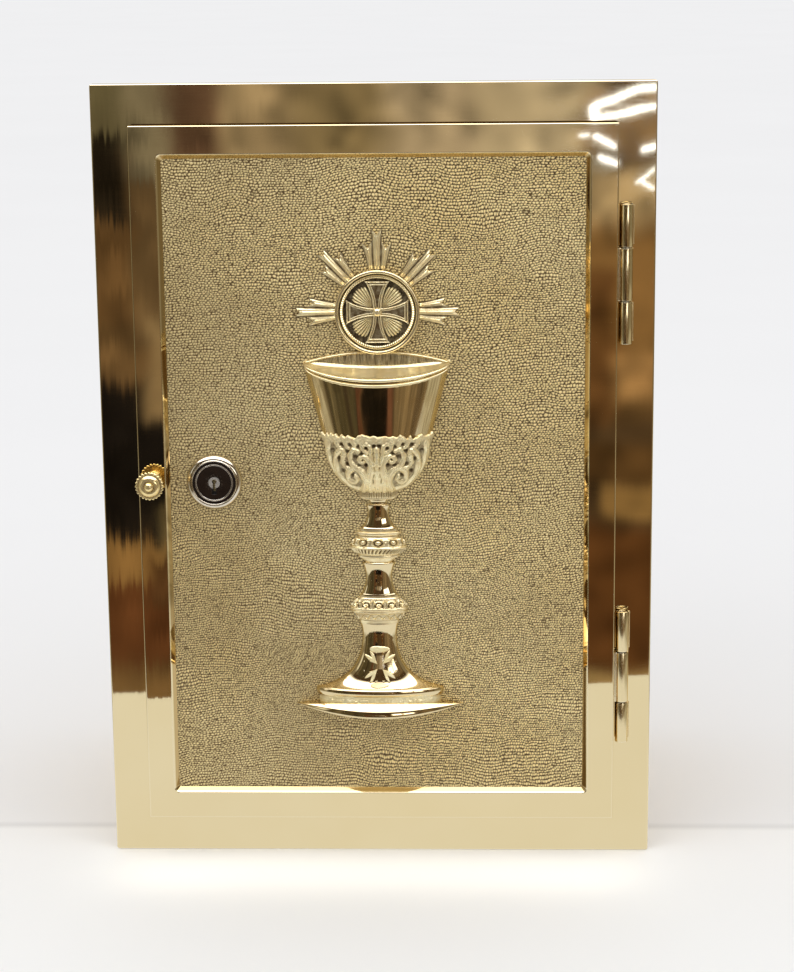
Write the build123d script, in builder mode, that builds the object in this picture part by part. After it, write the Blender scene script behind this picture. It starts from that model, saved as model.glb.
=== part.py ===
"""Recessed wall tabernacle: a brass safe box with a polished face frame and a hinged, key-locked door.

Millimetres. X is to the right, Z is up, and +Y runs into the wall, so the door faces -Y.
The origin is the centre of the wall anchor pattern, on the rear face of the back plate.
"""

import os

from build123d import *

# ---- driving dimensions ----------------------------------------------------------------------
FRAME_W = 280.0  # face frame, outside
FRAME_H = 400.0
FRAME_T = 5.0
OPENING_W = 208.0  # clear opening in the face frame
OPENING_H = 324.0
BODY_DEPTH = 205.0  # front of the face frame to the rear of the back plate

SHEET_T = 3.0  # welded box
FRAME_CORNER_R = 1.2
FRAME_EDGE_R = 0.7

SHELL_W = 230.0  # box, outside
SHELL_H = 346.0
FLANGE_T = 2.0
FLANGE_REACH = 12.0  # how far the box flange stands out from its walls

LINING_T = 4.0
LINING_SETBACK = 16.0  # from the back of the face frame to the front edge of the boards
ANCHOR_X = 160.0  # spacing of the wall anchor holes
ANCHOR_Z = 240.0
ANCHOR_R = 4.5
ANCHOR_ACCESS_R = 11.0  # hole in the lining board, for the bolt head and washer

DOOR_W = 242.0
DOOR_H = 360.0
DOOR_T = 6.5
DOOR_GAP = 0.4  # between the face frame and the closed door
DOOR_CORNER_R = 0.8
DOOR_EDGE_R = 0.6
RECESS_W = 215.0  # mouth of the recess in the door's front
RECESS_H = 332.0
RECESS_DEPTH = 2.5
RECESS_SLOPE = 2.4  # how far its walls run in
RECESS_MOUTH_CORNER_R = 2.4
RECESS_FLOOR_CORNER_R = 1.2
RECESS_EDGE_R = 0.5
PANEL_T = 1.6
PANEL_MARGIN = 5.2  # of the panel, trapped behind the door frame on each side

BARREL_R = 3.3
BARREL_LIFT = 0.35  # between the barrels and the face frame
BARREL_STANDOFF = 0.9  # between the barrels and the door's edge
PIN_R = 1.5
PIN_CLEARANCE = 0.05
PIN_INSET = 0.5  # of the pin's ends inside the barrel
KNUCKLE_END = 21.75  # length of each outer knuckle
KNUCKLE_MID = 26.5
KNUCKLE_GAP = 0.4
HINGE_Z = (-103.5, 105.0)  # middles of the lower and upper hinges

LOCK_X = -82.5
LOCK_Z = 0.0
BARREL_LOCK_R = 9.5  # threaded barrel of the cylinder lock
CORE_R = 6.6
CAM_LENGTH = 28.0
CAM_W = 11.0
CAM_T = 2.5

KNOB_X = -114.2
KNOB_Z = 0.5

RELIEF_X = 0.6  # centre line of the chalice
RELIEF_FLATTEN = 0.42  # depth of the half-round castings over their half-width
HOST_X = 1.4
HOST_Z = 87.0
HOST_R = 21.3
HOST_GAP = 0.2  # between the host's ring and the pieces around it
RAY_ANGLES = (0, 47, 90, 133, 180)

# ---- levels along Y --------------------------------------------------------------------------
FRONT_Y = -BODY_DEPTH
WALL_Y = FRONT_Y + FRAME_T  # the wall surface, behind the face frame
DOOR_BACK_Y = FRONT_Y - DOOR_GAP
DOOR_FRONT_Y = DOOR_BACK_Y - DOOR_T
PANEL_FRONT_Y = DOOR_FRONT_Y + RECESS_DEPTH
PANEL_BACK_Y = PANEL_FRONT_Y + PANEL_T
DOOR_PLATE_T = DOOR_BACK_Y - PANEL_BACK_Y

SHELL_IN_W = SHELL_W - 2 * SHEET_T
SHELL_IN_H = SHELL_H - 2 * SHEET_T
BACK_PLATE_Y = -SHEET_T
LINING_FRONT_Y = WALL_Y + LINING_SETBACK
LINING_BACK_Y = BACK_PLATE_Y - LINING_T

PANEL_W = RECESS_W - 2 * RECESS_SLOPE + 2 * PANEL_MARGIN
PANEL_H = RECESS_H - 2 * RECESS_SLOPE + 2 * PANEL_MARGIN

HINGE_X = DOOR_W / 2 + BARREL_STANDOFF + BARREL_R
HINGE_Y = FRONT_Y - BARREL_LIFT - BARREL_R
HINGE_LENGTH = 2 * KNUCKLE_END + KNUCKLE_MID


def facing(y):
    """A sketch plane at depth y that faces the viewer: its x is X, its y is Z, and it extrudes to -Y."""
    return Plane.XZ.offset(-y)


def save(shape, name):
    """Labels a finished piece and writes it as its own node."""
    shape.label = name
    export_step(shape, f"parts/{name}.step")


def group(solids, name):
    """Saves several identical solids as one node."""
    save(Compound(children=list(solids)), name)


os.makedirs("parts", exist_ok=True)

# ==== the box and its face frame ==============================================================

with BuildPart() as face_frame:
    with BuildSketch(facing(WALL_Y)):
        Rectangle(FRAME_W, FRAME_H)
        Rectangle(OPENING_W, OPENING_H, mode=Mode.SUBTRACT)
    extrude(amount=FRAME_T)
    fillet(face_frame.edges().filter_by(Axis.Y).group_by(SortBy.DISTANCE)[-1], radius=FRAME_CORNER_R)
    fillet(face_frame.faces().sort_by(Axis.Y)[0].outer_wire().edges(), radius=FRAME_EDGE_R)
save(face_frame.part, "face_frame")

STUD_R = 2.0
STUD_HOLE_R = 2.2
STUD_LENGTH = 8.0
NUT_ACROSS_FLATS = 7.0
NUT_T = 3.2
STUD_X = (-75.0, 75.0)  # studs along the top and bottom flanges
STUD_Z = (-125.0, 0.0, 125.0)  # studs along the side flanges
flange_mid_x = (SHELL_W + FLANGE_REACH) / 2
flange_mid_z = (SHELL_H + FLANGE_REACH) / 2
stud_sites = [(x, s * flange_mid_z) for s in (-1, 1) for x in STUD_X]
stud_sites += [(s * flange_mid_x, z) for s in (-1, 1) for z in STUD_Z]

with BuildPart() as frame_studs:
    with BuildSketch(facing(WALL_Y + STUD_LENGTH)):
        with Locations(*stud_sites):
            Circle(STUD_R)
    extrude(amount=STUD_LENGTH)
group(frame_studs.solids(), "frame_studs")

with BuildPart() as frame_nuts:
    with BuildSketch(facing(WALL_Y + FLANGE_T + NUT_T)):
        with Locations(*stud_sites):
            RegularPolygon(NUT_ACROSS_FLATS / 2, 6, major_radius=False)
            Circle(STUD_R, mode=Mode.SUBTRACT)
    extrude(amount=NUT_T)
group(frame_nuts.solids(), "frame_nuts")


def angle_outline(inside, outside, flange_edge):
    """Section of a box wall with its folded flange, from Y across and the wall's own axis up."""
    Polyline(
        (WALL_Y, inside),
        (WALL_Y, flange_edge),
        (WALL_Y + FLANGE_T, flange_edge),
        (WALL_Y + FLANGE_T, outside),
        (BACK_PLATE_Y, outside),
        (BACK_PLATE_Y, inside),
        close=True,
    )


for side, name in ((1, "box_top"), (-1, "box_floor")):
    with BuildPart() as wall:
        with BuildSketch(Plane.YZ.offset(-SHELL_W / 2)):
            with BuildLine():
                angle_outline(side * SHELL_IN_H / 2, side * SHELL_H / 2, side * (SHELL_H / 2 + FLANGE_REACH))
            make_face()
        extrude(amount=SHELL_W)
        with BuildSketch(facing(WALL_Y + FLANGE_T)):
            with Locations(*stud_sites):
                Circle(STUD_HOLE_R)
        extrude(amount=FLANGE_T, mode=Mode.SUBTRACT)
    save(wall.part, name)

for side, name in ((-1, "box_left_side"), (1, "box_right_side")):
    with BuildPart() as wall:
        with BuildSketch(Plane(origin=(0, 0, -SHELL_IN_H / 2), x_dir=(0, 1, 0), z_dir=(0, 0, -1))):
            with BuildLine():
                angle_outline(side * SHELL_IN_W / 2, side * SHELL_W / 2, side * (SHELL_W / 2 + FLANGE_REACH))
            make_face()
        extrude(amount=-SHELL_IN_H)
        with BuildSketch(facing(WALL_Y + FLANGE_T)):
            with Locations(*stud_sites):
                Circle(STUD_HOLE_R)
        extrude(amount=FLANGE_T, mode=Mode.SUBTRACT)
    save(wall.part, name)

with BuildPart() as back_plate:
    with BuildSketch(facing(0)):
        Rectangle(SHELL_W, SHELL_H)
        with GridLocations(ANCHOR_X, ANCHOR_Z, 2, 2):
            Circle(ANCHOR_R, mode=Mode.SUBTRACT)
    extrude(amount=SHEET_T)
save(back_plate.part, "back_plate")

# ---- cedar lining boards ---------------------------------------------------------------------
board_depth = LINING_BACK_Y - LINING_FRONT_Y
board_mid_y = (LINING_BACK_Y + LINING_FRONT_Y) / 2
side_board_h = SHELL_IN_H - 2 * LINING_T

with BuildPart() as lining_back:
    with BuildSketch(facing(BACK_PLATE_Y)):
        Rectangle(SHELL_IN_W, SHELL_IN_H)
        with GridLocations(ANCHOR_X, ANCHOR_Z, 2, 2):
            Circle(ANCHOR_ACCESS_R, mode=Mode.SUBTRACT)
    extrude(amount=LINING_T)
save(lining_back.part, "lining_back")

for side, name in ((-1, "lining_floor"), (1, "lining_top")):
    with BuildPart() as board:
        with Locations((0, board_mid_y, side * (SHELL_IN_H - LINING_T) / 2)):
            Box(SHELL_IN_W, board_depth, LINING_T)
    save(board.part, name)

for side, name in ((-1, "lining_left"), (1, "lining_right")):
    with BuildPart() as board:
        with Locations((side * (SHELL_IN_W - LINING_T) / 2, board_mid_y, 0)):
            Box(LINING_T, board_depth, side_board_h)
    save(board.part, name)

# ---- strike that the lock cam swings behind --------------------------------------------------
STRIKE_W = 6.0
STRIKE_H = 50.0
STRIKE_T = 7.4
STRIKE_SCREW_R = 1.5
STRIKE_SCREW_HEAD_R = 2.6
STRIKE_SCREW_HEAD_T = 1.6
STRIKE_SCREW_SPACING = 38.0  # wide enough for the cam to swing between the heads
STRIKE_SETBACK = 1.0  # from the edge of the door opening
strike_x = -(OPENING_W + STRIKE_W) / 2 - STRIKE_SETBACK
strike_rear_y = WALL_Y + STRIKE_T
strike_sites = [(strike_x, LOCK_Z + s * STRIKE_SCREW_SPACING / 2) for s in (-1, 1)]

with BuildPart() as strike_block:
    with BuildSketch(facing(strike_rear_y)):
        with Locations((strike_x, LOCK_Z)):
            Rectangle(STRIKE_W, STRIKE_H)
        with Locations(*strike_sites):
            Circle(STRIKE_SCREW_R, mode=Mode.SUBTRACT)
    extrude(amount=STRIKE_T)
save(strike_block.part, "strike_block")

with BuildPart() as strike_screws:
    with BuildSketch(facing(strike_rear_y)):
        with Locations(*strike_sites):
            Circle(STRIKE_SCREW_R)
    extrude(amount=STRIKE_T)
    with BuildSketch(facing(strike_rear_y + STRIKE_SCREW_HEAD_T)):
        with Locations(*strike_sites):
            Circle(STRIKE_SCREW_HEAD_R)
    extrude(amount=STRIKE_SCREW_HEAD_T)
group(strike_screws.solids(), "strike_screws")

# ==== the two hinges ==========================================================================
FOOT_W = 2.4  # of the strip that joins a barrel to the face frame
WEB_T = 3.6  # of the strip that joins a barrel to the door
WELD_DEPTH = PIN_R + 0.6  # from the hinge axis to where those strips end
BRAZE_REACH = 4.1  # how far the braze runs out from the hinge axis
BRAZE_HEIGHT = 1.1
BRAZE_INSET = 0.8


for middle, name in zip(HINGE_Z, ("lower_hinge", "upper_hinge")):
    bottom = middle - HINGE_LENGTH / 2
    top = middle + HINGE_LENGTH / 2
    door_low = middle - KNUCKLE_MID / 2
    door_high = middle + KNUCKLE_MID / 2
    end_spans = ((bottom, door_low - KNUCKLE_GAP), (door_high + KNUCKLE_GAP, top))

    with BuildPart() as frame_knuckles:
        for low, high in end_spans:
            with BuildSketch(Plane.XY.offset(low)):
                with Locations((HINGE_X, (FRONT_Y + HINGE_Y + WELD_DEPTH) / 2)):
                    Rectangle(FOOT_W, FRONT_Y - HINGE_Y - WELD_DEPTH)
                with Locations((HINGE_X, HINGE_Y)):
                    Circle(BARREL_R)
                    Circle(PIN_R, mode=Mode.SUBTRACT)
            extrude(amount=high - low)
    group(frame_knuckles.solids(), f"{name}_frame_knuckles")

    with BuildPart() as braze:
        for low, high in end_spans:
            with BuildSketch(Plane.XY.offset(low + BRAZE_INSET)):
                with BuildLine():
                    Polyline(
                        (HINGE_X + FOOT_W / 2, FRONT_Y),
                        (HINGE_X + BRAZE_REACH, FRONT_Y),
                        (HINGE_X + FOOT_W / 2, FRONT_Y - BRAZE_HEIGHT),
                        close=True,
                    )
                make_face()
                with Locations((HINGE_X, HINGE_Y)):
                    Circle(BARREL_R, mode=Mode.SUBTRACT)
            extrude(amount=high - low - 2 * BRAZE_INSET)
    group(braze.solids(), f"{name}_braze")

    with BuildPart() as door_knuckle:
        web_end = HINGE_X - WELD_DEPTH
        with BuildSketch(Plane.XY.offset(door_low)):
            with Locations(((DOOR_W / 2 + web_end) / 2, HINGE_Y)):
                Rectangle(web_end - DOOR_W / 2, WEB_T)
            with Locations((HINGE_X, HINGE_Y)):
                Circle(BARREL_R)
                Circle(PIN_R + PIN_CLEARANCE, mode=Mode.SUBTRACT)
        extrude(amount=KNUCKLE_MID)
    save(door_knuckle.part, f"{name}_door_knuckle")

    with BuildPart() as pin:
        with BuildSketch(Plane.XY.offset(bottom + PIN_INSET)):
            with Locations((HINGE_X, HINGE_Y)):
                Circle(PIN_R)
        extrude(amount=HINGE_LENGTH - 2 * PIN_INSET)
    save(pin.part, f"{name}_pin")

# ==== the door ================================================================================
RELIEF_SCREW_R = 1.5
RELIEF_SCREW_HEAD_R = 2.8
RELIEF_SCREW_BITE = 1.1  # how far those screws enter the castings
relief_screw_z = {"foot": -103.0, "lower_knop": -66.0, "upper_knop": -32.0, "bowl": 40.0}
relief_sites = [(RELIEF_X, z) for z in relief_screw_z.values()] + [(HOST_X, HOST_Z)]

KNOB_SCREW_R = 1.5
KNOB_SCREW_HEAD_R = 2.9
COUNTERSINK = 45.0  # half the angle of the screw heads
DOOR_SCREW_R = 1.0
DOOR_SCREW_HEAD_R = 1.9
DOOR_SCREW_BITE = 1.1
DOOR_SCREW_INSET = 2.2  # from the edge of the door plate
DOOR_SCREW_X = (-100.0, 0.0, 100.0)  # screws along the top and bottom edges
DOOR_SCREW_Z = (-120.0, -45.0, 45.0, 120.0)  # screws along the side edges
screw_x = PANEL_W / 2 - DOOR_SCREW_INSET
screw_z = PANEL_H / 2 - DOOR_SCREW_INSET
door_screw_sites = [(x, s * screw_z) for s in (-1, 1) for x in DOOR_SCREW_X]
door_screw_sites += [(s * screw_x, z) for s in (-1, 1) for z in DOOR_SCREW_Z]

with BuildPart() as door_frame:
    with BuildSketch(facing(DOOR_BACK_Y)):
        Rectangle(DOOR_W, DOOR_H)
    extrude(amount=DOOR_T)
    fillet(door_frame.edges().filter_by(Axis.Y), radius=DOOR_CORNER_R)
    fillet(door_frame.faces().sort_by(Axis.Y)[0].outer_wire().edges(), radius=DOOR_EDGE_R)
    # sloping walls of the recess
    with BuildSketch(facing(DOOR_FRONT_Y)):
        RectangleRounded(RECESS_W, RECESS_H, RECESS_MOUTH_CORNER_R)
    with BuildSketch(facing(PANEL_FRONT_Y)):
        RectangleRounded(RECESS_W - 2 * RECESS_SLOPE, RECESS_H - 2 * RECESS_SLOPE, RECESS_FLOOR_CORNER_R)
    loft(mode=Mode.SUBTRACT)
    fillet(door_frame.faces().sort_by(Axis.Y)[0].inner_wires()[0].edges(), radius=RECESS_EDGE_R)
    # rebate at the back, for the panel and the door plate
    with BuildSketch(facing(DOOR_BACK_Y)):
        Rectangle(PANEL_W, PANEL_H)
    extrude(amount=DOOR_BACK_Y - PANEL_FRONT_Y, mode=Mode.SUBTRACT)
    # blind holes for the door plate's screws
    with BuildSketch(facing(PANEL_FRONT_Y)):
        with Locations(*door_screw_sites):
            Circle(DOOR_SCREW_R)
    extrude(amount=DOOR_SCREW_BITE, mode=Mode.SUBTRACT)
    # countersunk hole for the knob's screw
    with Locations(Plane(origin=(KNOB_X, DOOR_BACK_Y, KNOB_Z), x_dir=(1, 0, 0), z_dir=(0, 1, 0))):
        CounterSinkHole(KNOB_SCREW_R, KNOB_SCREW_HEAD_R, counter_sink_angle=2 * COUNTERSINK)
save(door_frame.part, "door_frame")


def door_sheet_holes():
    """The holes that the panel and the door plate share."""
    with Locations((LOCK_X, LOCK_Z)):
        Circle(BARREL_LOCK_R, mode=Mode.SUBTRACT)
    with Locations(*relief_sites):
        Circle(RELIEF_SCREW_R, mode=Mode.SUBTRACT)
    with Locations(*door_screw_sites):
        Circle(DOOR_SCREW_R, mode=Mode.SUBTRACT)


with BuildPart() as door_panel:
    with BuildSketch(facing(PANEL_BACK_Y)):
        Rectangle(PANEL_W, PANEL_H)
        door_sheet_holes()
    extrude(amount=PANEL_T)
save(door_panel.part, "door_panel")

with BuildPart() as door_plate:
    with BuildSketch(facing(DOOR_BACK_Y)):
        Rectangle(PANEL_W, PANEL_H)
        door_sheet_holes()
    extrude(amount=DOOR_PLATE_T)
    with BuildSketch(facing(DOOR_BACK_Y)):
        with Locations(*door_screw_sites):
            Circle(DOOR_SCREW_HEAD_R)
    extrude(amount=DOOR_SCREW_HEAD_R - DOOR_SCREW_R, taper=COUNTERSINK, mode=Mode.SUBTRACT)
    with BuildSketch(facing(DOOR_BACK_Y)):
        with Locations(*relief_sites):
            Circle(RELIEF_SCREW_HEAD_R)
    extrude(amount=RELIEF_SCREW_HEAD_R - RELIEF_SCREW_R, taper=COUNTERSINK, mode=Mode.SUBTRACT)
save(door_plate.part, "door_plate")

with BuildPart() as door_plate_screws:
    with BuildSketch(facing(DOOR_BACK_Y)):
        with Locations(*door_screw_sites):
            Circle(DOOR_SCREW_R)
    extrude(amount=DOOR_BACK_Y - PANEL_FRONT_Y + DOOR_SCREW_BITE)
    with BuildSketch(facing(DOOR_BACK_Y)):
        with Locations(*door_screw_sites):
            Circle(DOOR_SCREW_HEAD_R)
    extrude(amount=DOOR_SCREW_HEAD_R - DOOR_SCREW_R, taper=COUNTERSINK)
group(door_plate_screws.solids(), "door_plate_screws")

with BuildPart() as relief_screws:
    with BuildSketch(facing(DOOR_BACK_Y)):
        with Locations(*relief_sites):
            Circle(RELIEF_SCREW_R)
    extrude(amount=DOOR_BACK_Y - PANEL_FRONT_Y + RELIEF_SCREW_BITE)
    with BuildSketch(facing(DOOR_BACK_Y)):
        with Locations(*relief_sites):
            Circle(RELIEF_SCREW_HEAD_R)
    extrude(amount=RELIEF_SCREW_HEAD_R - RELIEF_SCREW_R, taper=COUNTERSINK)
group(relief_screws.solids(), "relief_screws")

# ---- knob ------------------------------------------------------------------------------------
knob_axis = Axis((KNOB_X, 0, KNOB_Z), (0, 1, 0))
ROSE_R = 5.0
ROSE_T = 2.0
ROSE_EDGE_R = 1.2
KNOB_HEAD_R = 6.8
KNOB_HEAD_REACH = (9.4, 10.8)  # door face to the two sides of the head's edge
KNOB_REACH = 14.4  # door face to the tip of the knob
# other points of its outline: radius, and distance from the door face
KNOB_FOOT_R = 3.6
KNOB_NECK = (2.6, 5.4)
KNOB_FLARE = (3.4, 8.4)
KNOB_EDGE = (7.1, 10.1)
KNOB_DOME = (5.0, 11.6)
KNOB_TIP_R = 2.4
knob_foot_y = DOOR_FRONT_Y - ROSE_T
tip_reach = KNOB_REACH - KNOB_TIP_R
KNOB_SCREW_BITE = 6.5


def knob_point(radius, reach):
    """A point of the knob's outline: its radius, and how far it stands out from the door."""
    return (KNOB_X + radius, DOOR_FRONT_Y - reach)


with BuildPart() as knob_rose:
    with BuildSketch(facing(DOOR_FRONT_Y)):
        with Locations((KNOB_X, KNOB_Z)):
            Circle(ROSE_R)
            Circle(KNOB_SCREW_R, mode=Mode.SUBTRACT)
    extrude(amount=ROSE_T)
    fillet(knob_rose.faces().sort_by(Axis.Y)[0].outer_wire().edges(), radius=ROSE_EDGE_R)
save(knob_rose.part, "knob_rose")

with BuildPart() as door_knob:
    with BuildSketch(Plane.XY.offset(KNOB_Z)):
        with BuildLine():
            foot = Line(knob_point(0, ROSE_T), knob_point(KNOB_FOOT_R, ROSE_T))
            neck = ThreePointArc(foot @ 1, knob_point(*KNOB_NECK), knob_point(*KNOB_FLARE))
            low, high = [knob_point(KNOB_HEAD_R, reach) for reach in KNOB_HEAD_REACH]
            flare = Line(neck @ 1, low)
            edge = ThreePointArc(flare @ 1, knob_point(*KNOB_EDGE), high)
            dome = ThreePointArc(edge @ 1, knob_point(*KNOB_DOME), knob_point(KNOB_TIP_R, tip_reach))
            tip = CenterArc(knob_point(0, tip_reach), KNOB_TIP_R, start_angle=0, arc_size=-90)
            Line(tip @ 1, foot @ 0)
        make_face()
    revolve(axis=knob_axis)
    with BuildSketch(facing(knob_foot_y)):
        with Locations((KNOB_X, KNOB_Z)):
            Circle(KNOB_SCREW_R)
    extrude(amount=KNOB_SCREW_BITE, mode=Mode.SUBTRACT)
save(door_knob.part, "door_knob")

with BuildPart() as knob_screw:
    with BuildSketch(Plane.XY.offset(KNOB_Z)):
        with BuildLine():
            Polyline(
                (KNOB_X, DOOR_BACK_Y),
                (KNOB_X + KNOB_SCREW_HEAD_R, DOOR_BACK_Y),
                (KNOB_X + KNOB_SCREW_R, DOOR_BACK_Y - KNOB_SCREW_HEAD_R + KNOB_SCREW_R),
                (KNOB_X + KNOB_SCREW_R, knob_foot_y - KNOB_SCREW_BITE),
                (KNOB_X, knob_foot_y - KNOB_SCREW_BITE),
                close=True,
            )
        make_face()
    revolve(axis=knob_axis)
save(knob_screw.part, "knob_screw")

# ---- cylinder lock ---------------------------------------------------------------------------
BEZEL_R = 14.2
BEZEL_T = 3.4
LOCK_HEAD_R = 11.0
LOCK_HEAD_T = 3.0  # from the panel to the lock's face
LOCK_FACE_T = 1.0
LOCK_LENGTH = 17.5  # from the panel to the rear of the core
POST_R = 2.9
KEYHOLE_SLOT_W = 2.4
KEYHOLE_DROP = 6.0  # from the middle of the keyhole to the foot of its slot
KEYWAY_R = 1.2
KEYWAY_W = 1.3
KEYWAY_RISE = 0.6  # how far the keyway's round end is above the middle
KEYWAY_DROP = 5.0
KEYWAY_DEPTH = 8.0
CORE_CLEARANCE = 0.08
CORE_END_GAP = 0.3  # at both ends of the core, so that it turns freely
TAIL_W = 6.0
CAM_HUB_R = 9.0
CAM_SCREW_R = 1.5
BEZEL_RIM_T = 0.8  # straight part of its edge
BEZEL_CROWN_INSET = 0.9  # middle of the curve above that edge
BEZEL_CROWN_RISE = 2.7
CAM_SCREW_LENGTH = 6.0
CAM_SCREW_HEAD_R = 4.2
CAM_SCREW_HEAD_T = 2.4
LOCK_NUT_R = 12.0  # to its flats
LOCK_NUT_T = 4.0
LOCK_WASHER_R = 12.5
LOCK_WASHER_T = 0.8

core_rear_y = PANEL_FRONT_Y + LOCK_LENGTH
body_rear_y = core_rear_y - CORE_END_GAP
face_rear_y = PANEL_FRONT_Y - LOCK_HEAD_T + LOCK_FACE_T
core_front_y = face_rear_y + CORE_END_GAP
cam_rear_y = core_rear_y + CAM_T

with BuildPart() as lock_bezel:
    with BuildSketch(Plane.XY.offset(LOCK_Z)):
        with BuildLine():
            rise = Line((LOCK_X + BEZEL_R, PANEL_FRONT_Y), (LOCK_X + BEZEL_R, PANEL_FRONT_Y - BEZEL_RIM_T))
            crown = ThreePointArc(
                rise @ 1,
                (LOCK_X + BEZEL_R - BEZEL_CROWN_INSET, PANEL_FRONT_Y - BEZEL_CROWN_RISE),
                (LOCK_X + LOCK_HEAD_R, PANEL_FRONT_Y - BEZEL_T),
            )
            Polyline(crown @ 1, (LOCK_X + LOCK_HEAD_R, PANEL_FRONT_Y), rise @ 0)
        make_face()
    revolve(axis=Axis((LOCK_X, 0, LOCK_Z), (0, 1, 0)))
save(lock_bezel.part, "lock_bezel")


def keyhole(radius, slot_w):
    """The outline of the keyhole: a round hole with a slot below it."""
    with Locations((LOCK_X, LOCK_Z)):
        Circle(radius, mode=Mode.SUBTRACT)
    with Locations((LOCK_X, LOCK_Z - KEYHOLE_DROP / 2)):
        Rectangle(slot_w, KEYHOLE_DROP, mode=Mode.SUBTRACT)


with BuildPart() as lock_body:
    with BuildSketch(facing(body_rear_y)):
        with Locations((LOCK_X, LOCK_Z)):
            Circle(BARREL_LOCK_R)
            Circle(CORE_R + CORE_CLEARANCE, mode=Mode.SUBTRACT)
    extrude(amount=body_rear_y - face_rear_y)
    with BuildSketch(facing(PANEL_FRONT_Y)):
        with Locations((LOCK_X, LOCK_Z)):
            Circle(LOCK_HEAD_R)
            Circle(CORE_R + CORE_CLEARANCE, mode=Mode.SUBTRACT)
    extrude(amount=PANEL_FRONT_Y - face_rear_y)
    with BuildSketch(facing(face_rear_y)):
        with Locations((LOCK_X, LOCK_Z)):
            Circle(LOCK_HEAD_R)
        keyhole(POST_R + CORE_CLEARANCE, KEYHOLE_SLOT_W)
    extrude(amount=LOCK_FACE_T)
save(lock_body.part, "lock_body")

with BuildPart() as lock_nut:
    with BuildSketch(facing(DOOR_BACK_Y + LOCK_WASHER_T + LOCK_NUT_T)):
        with Locations((LOCK_X, LOCK_Z)):
            RegularPolygon(LOCK_NUT_R, 6, major_radius=False)
            Circle(BARREL_LOCK_R, mode=Mode.SUBTRACT)
    extrude(amount=LOCK_NUT_T)
save(lock_nut.part, "lock_nut")

with BuildPart() as lock_washer:
    with BuildSketch(facing(DOOR_BACK_Y + LOCK_WASHER_T)):
        with Locations((LOCK_X, LOCK_Z)):
            Circle(LOCK_WASHER_R)
            Circle(BARREL_LOCK_R, mode=Mode.SUBTRACT)
    extrude(amount=LOCK_WASHER_T)
save(lock_washer.part, "lock_washer")

with BuildPart() as lock_core:
    with BuildSketch(facing(core_rear_y)):
        with Locations((LOCK_X, LOCK_Z)):
            Circle(CORE_R)
    extrude(amount=core_rear_y - core_front_y)
    # the round post that fills the keyhole, and the square tail that carries the cam
    with BuildSketch(facing(core_front_y)):
        with Locations((LOCK_X, LOCK_Z)):
            Circle(POST_R)
    extrude(amount=CORE_END_GAP + LOCK_FACE_T)
    with BuildSketch(facing(cam_rear_y)):
        with Locations((LOCK_X, LOCK_Z)):
            Rectangle(TAIL_W, TAIL_W)
    extrude(amount=CAM_T)
    with BuildSketch(facing(face_rear_y + KEYWAY_DEPTH)):
        with Locations((LOCK_X, LOCK_Z + KEYWAY_RISE)):
            Circle(KEYWAY_R)
        with Locations((LOCK_X, LOCK_Z + (KEYWAY_RISE - KEYWAY_DROP) / 2)):
            Rectangle(KEYWAY_W, KEYWAY_RISE + KEYWAY_DROP)
    extrude(amount=KEYWAY_DEPTH + LOCK_FACE_T, mode=Mode.SUBTRACT)
    with BuildSketch(facing(cam_rear_y)):
        with Locations((LOCK_X, LOCK_Z)):
            Circle(CAM_SCREW_R)
    extrude(amount=CAM_SCREW_LENGTH, mode=Mode.SUBTRACT)
save(lock_core.part, "lock_core")

with BuildPart() as lock_cam:
    with BuildSketch(facing(cam_rear_y)):
        with Locations((LOCK_X, LOCK_Z)):
            Circle(CAM_HUB_R)
        with Locations((LOCK_X, LOCK_Z - (CAM_LENGTH - CAM_W / 2) / 2)):
            Rectangle(CAM_W, CAM_LENGTH - CAM_W / 2)
        with Locations((LOCK_X, LOCK_Z - CAM_LENGTH + CAM_W / 2)):
            Circle(CAM_W / 2)
        with Locations((LOCK_X, LOCK_Z)):
            Rectangle(TAIL_W, TAIL_W, mode=Mode.SUBTRACT)
    extrude(amount=CAM_T)
save(lock_cam.part, "lock_cam")

with BuildPart() as cam_screw:
    with BuildSketch(facing(cam_rear_y)):
        with Locations((LOCK_X, LOCK_Z)):
            Circle(CAM_SCREW_R)
    extrude(amount=CAM_SCREW_LENGTH)
    with BuildSketch(facing(cam_rear_y + CAM_SCREW_HEAD_T)):
        with Locations((LOCK_X, LOCK_Z)):
            RegularPolygon(CAM_SCREW_HEAD_R, 6, major_radius=False)
    extrude(amount=CAM_SCREW_HEAD_T)
save(cam_screw.part, "cam_screw")

# ==== the chalice in relief ===================================================================
# Each casting is turned about the chalice's axis through the front half only, then flattened.
# Outlines give the radius and the height of their points.


def turn_front_half():
    """Turns the pending section from +X through -Y to -X, and flattens it."""
    revolve(axis=Axis((0, 0, 0), (0, 0, -1)), revolution_arc=180)
    scale(by=(1, RELIEF_FLATTEN, 1))


def place_casting(piece, name, screw_z=None):
    """Sets a casting on the panel, drills it for its screw, and saves it."""
    with BuildPart() as placed:
        add(Location((RELIEF_X, PANEL_FRONT_Y, 0)) * piece)
        if screw_z is not None:
            with BuildSketch(facing(PANEL_FRONT_Y)):
                with Locations((RELIEF_X, screw_z)):
                    Circle(RELIEF_SCREW_R)
            extrude(amount=RELIEF_SCREW_BITE, mode=Mode.SUBTRACT)
    save(placed.part, name)


RIM_R = 37.2
RIM_Z = 61.8
LIP_SAG = 3.6  # how far the mouth dips between its two ends
MOUTH_LEAN = (0, -1, -0.22)  # the mouth is cut along this line, so it leans towards the viewer
CALYX_R = 27.6
CALYX_Z = 24.5
COLLAR_R = 9.1
COLLAR_Z = -3.8
UPPER_STEM_Z = -8.9
UPPER_KNOP_Z = -24.5
MIDDLE_STEM_Z = -42.0
LOWER_KNOP_Z = -59.5
FOOT_Z = -74.4
BASE_Z = -111.1

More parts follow.
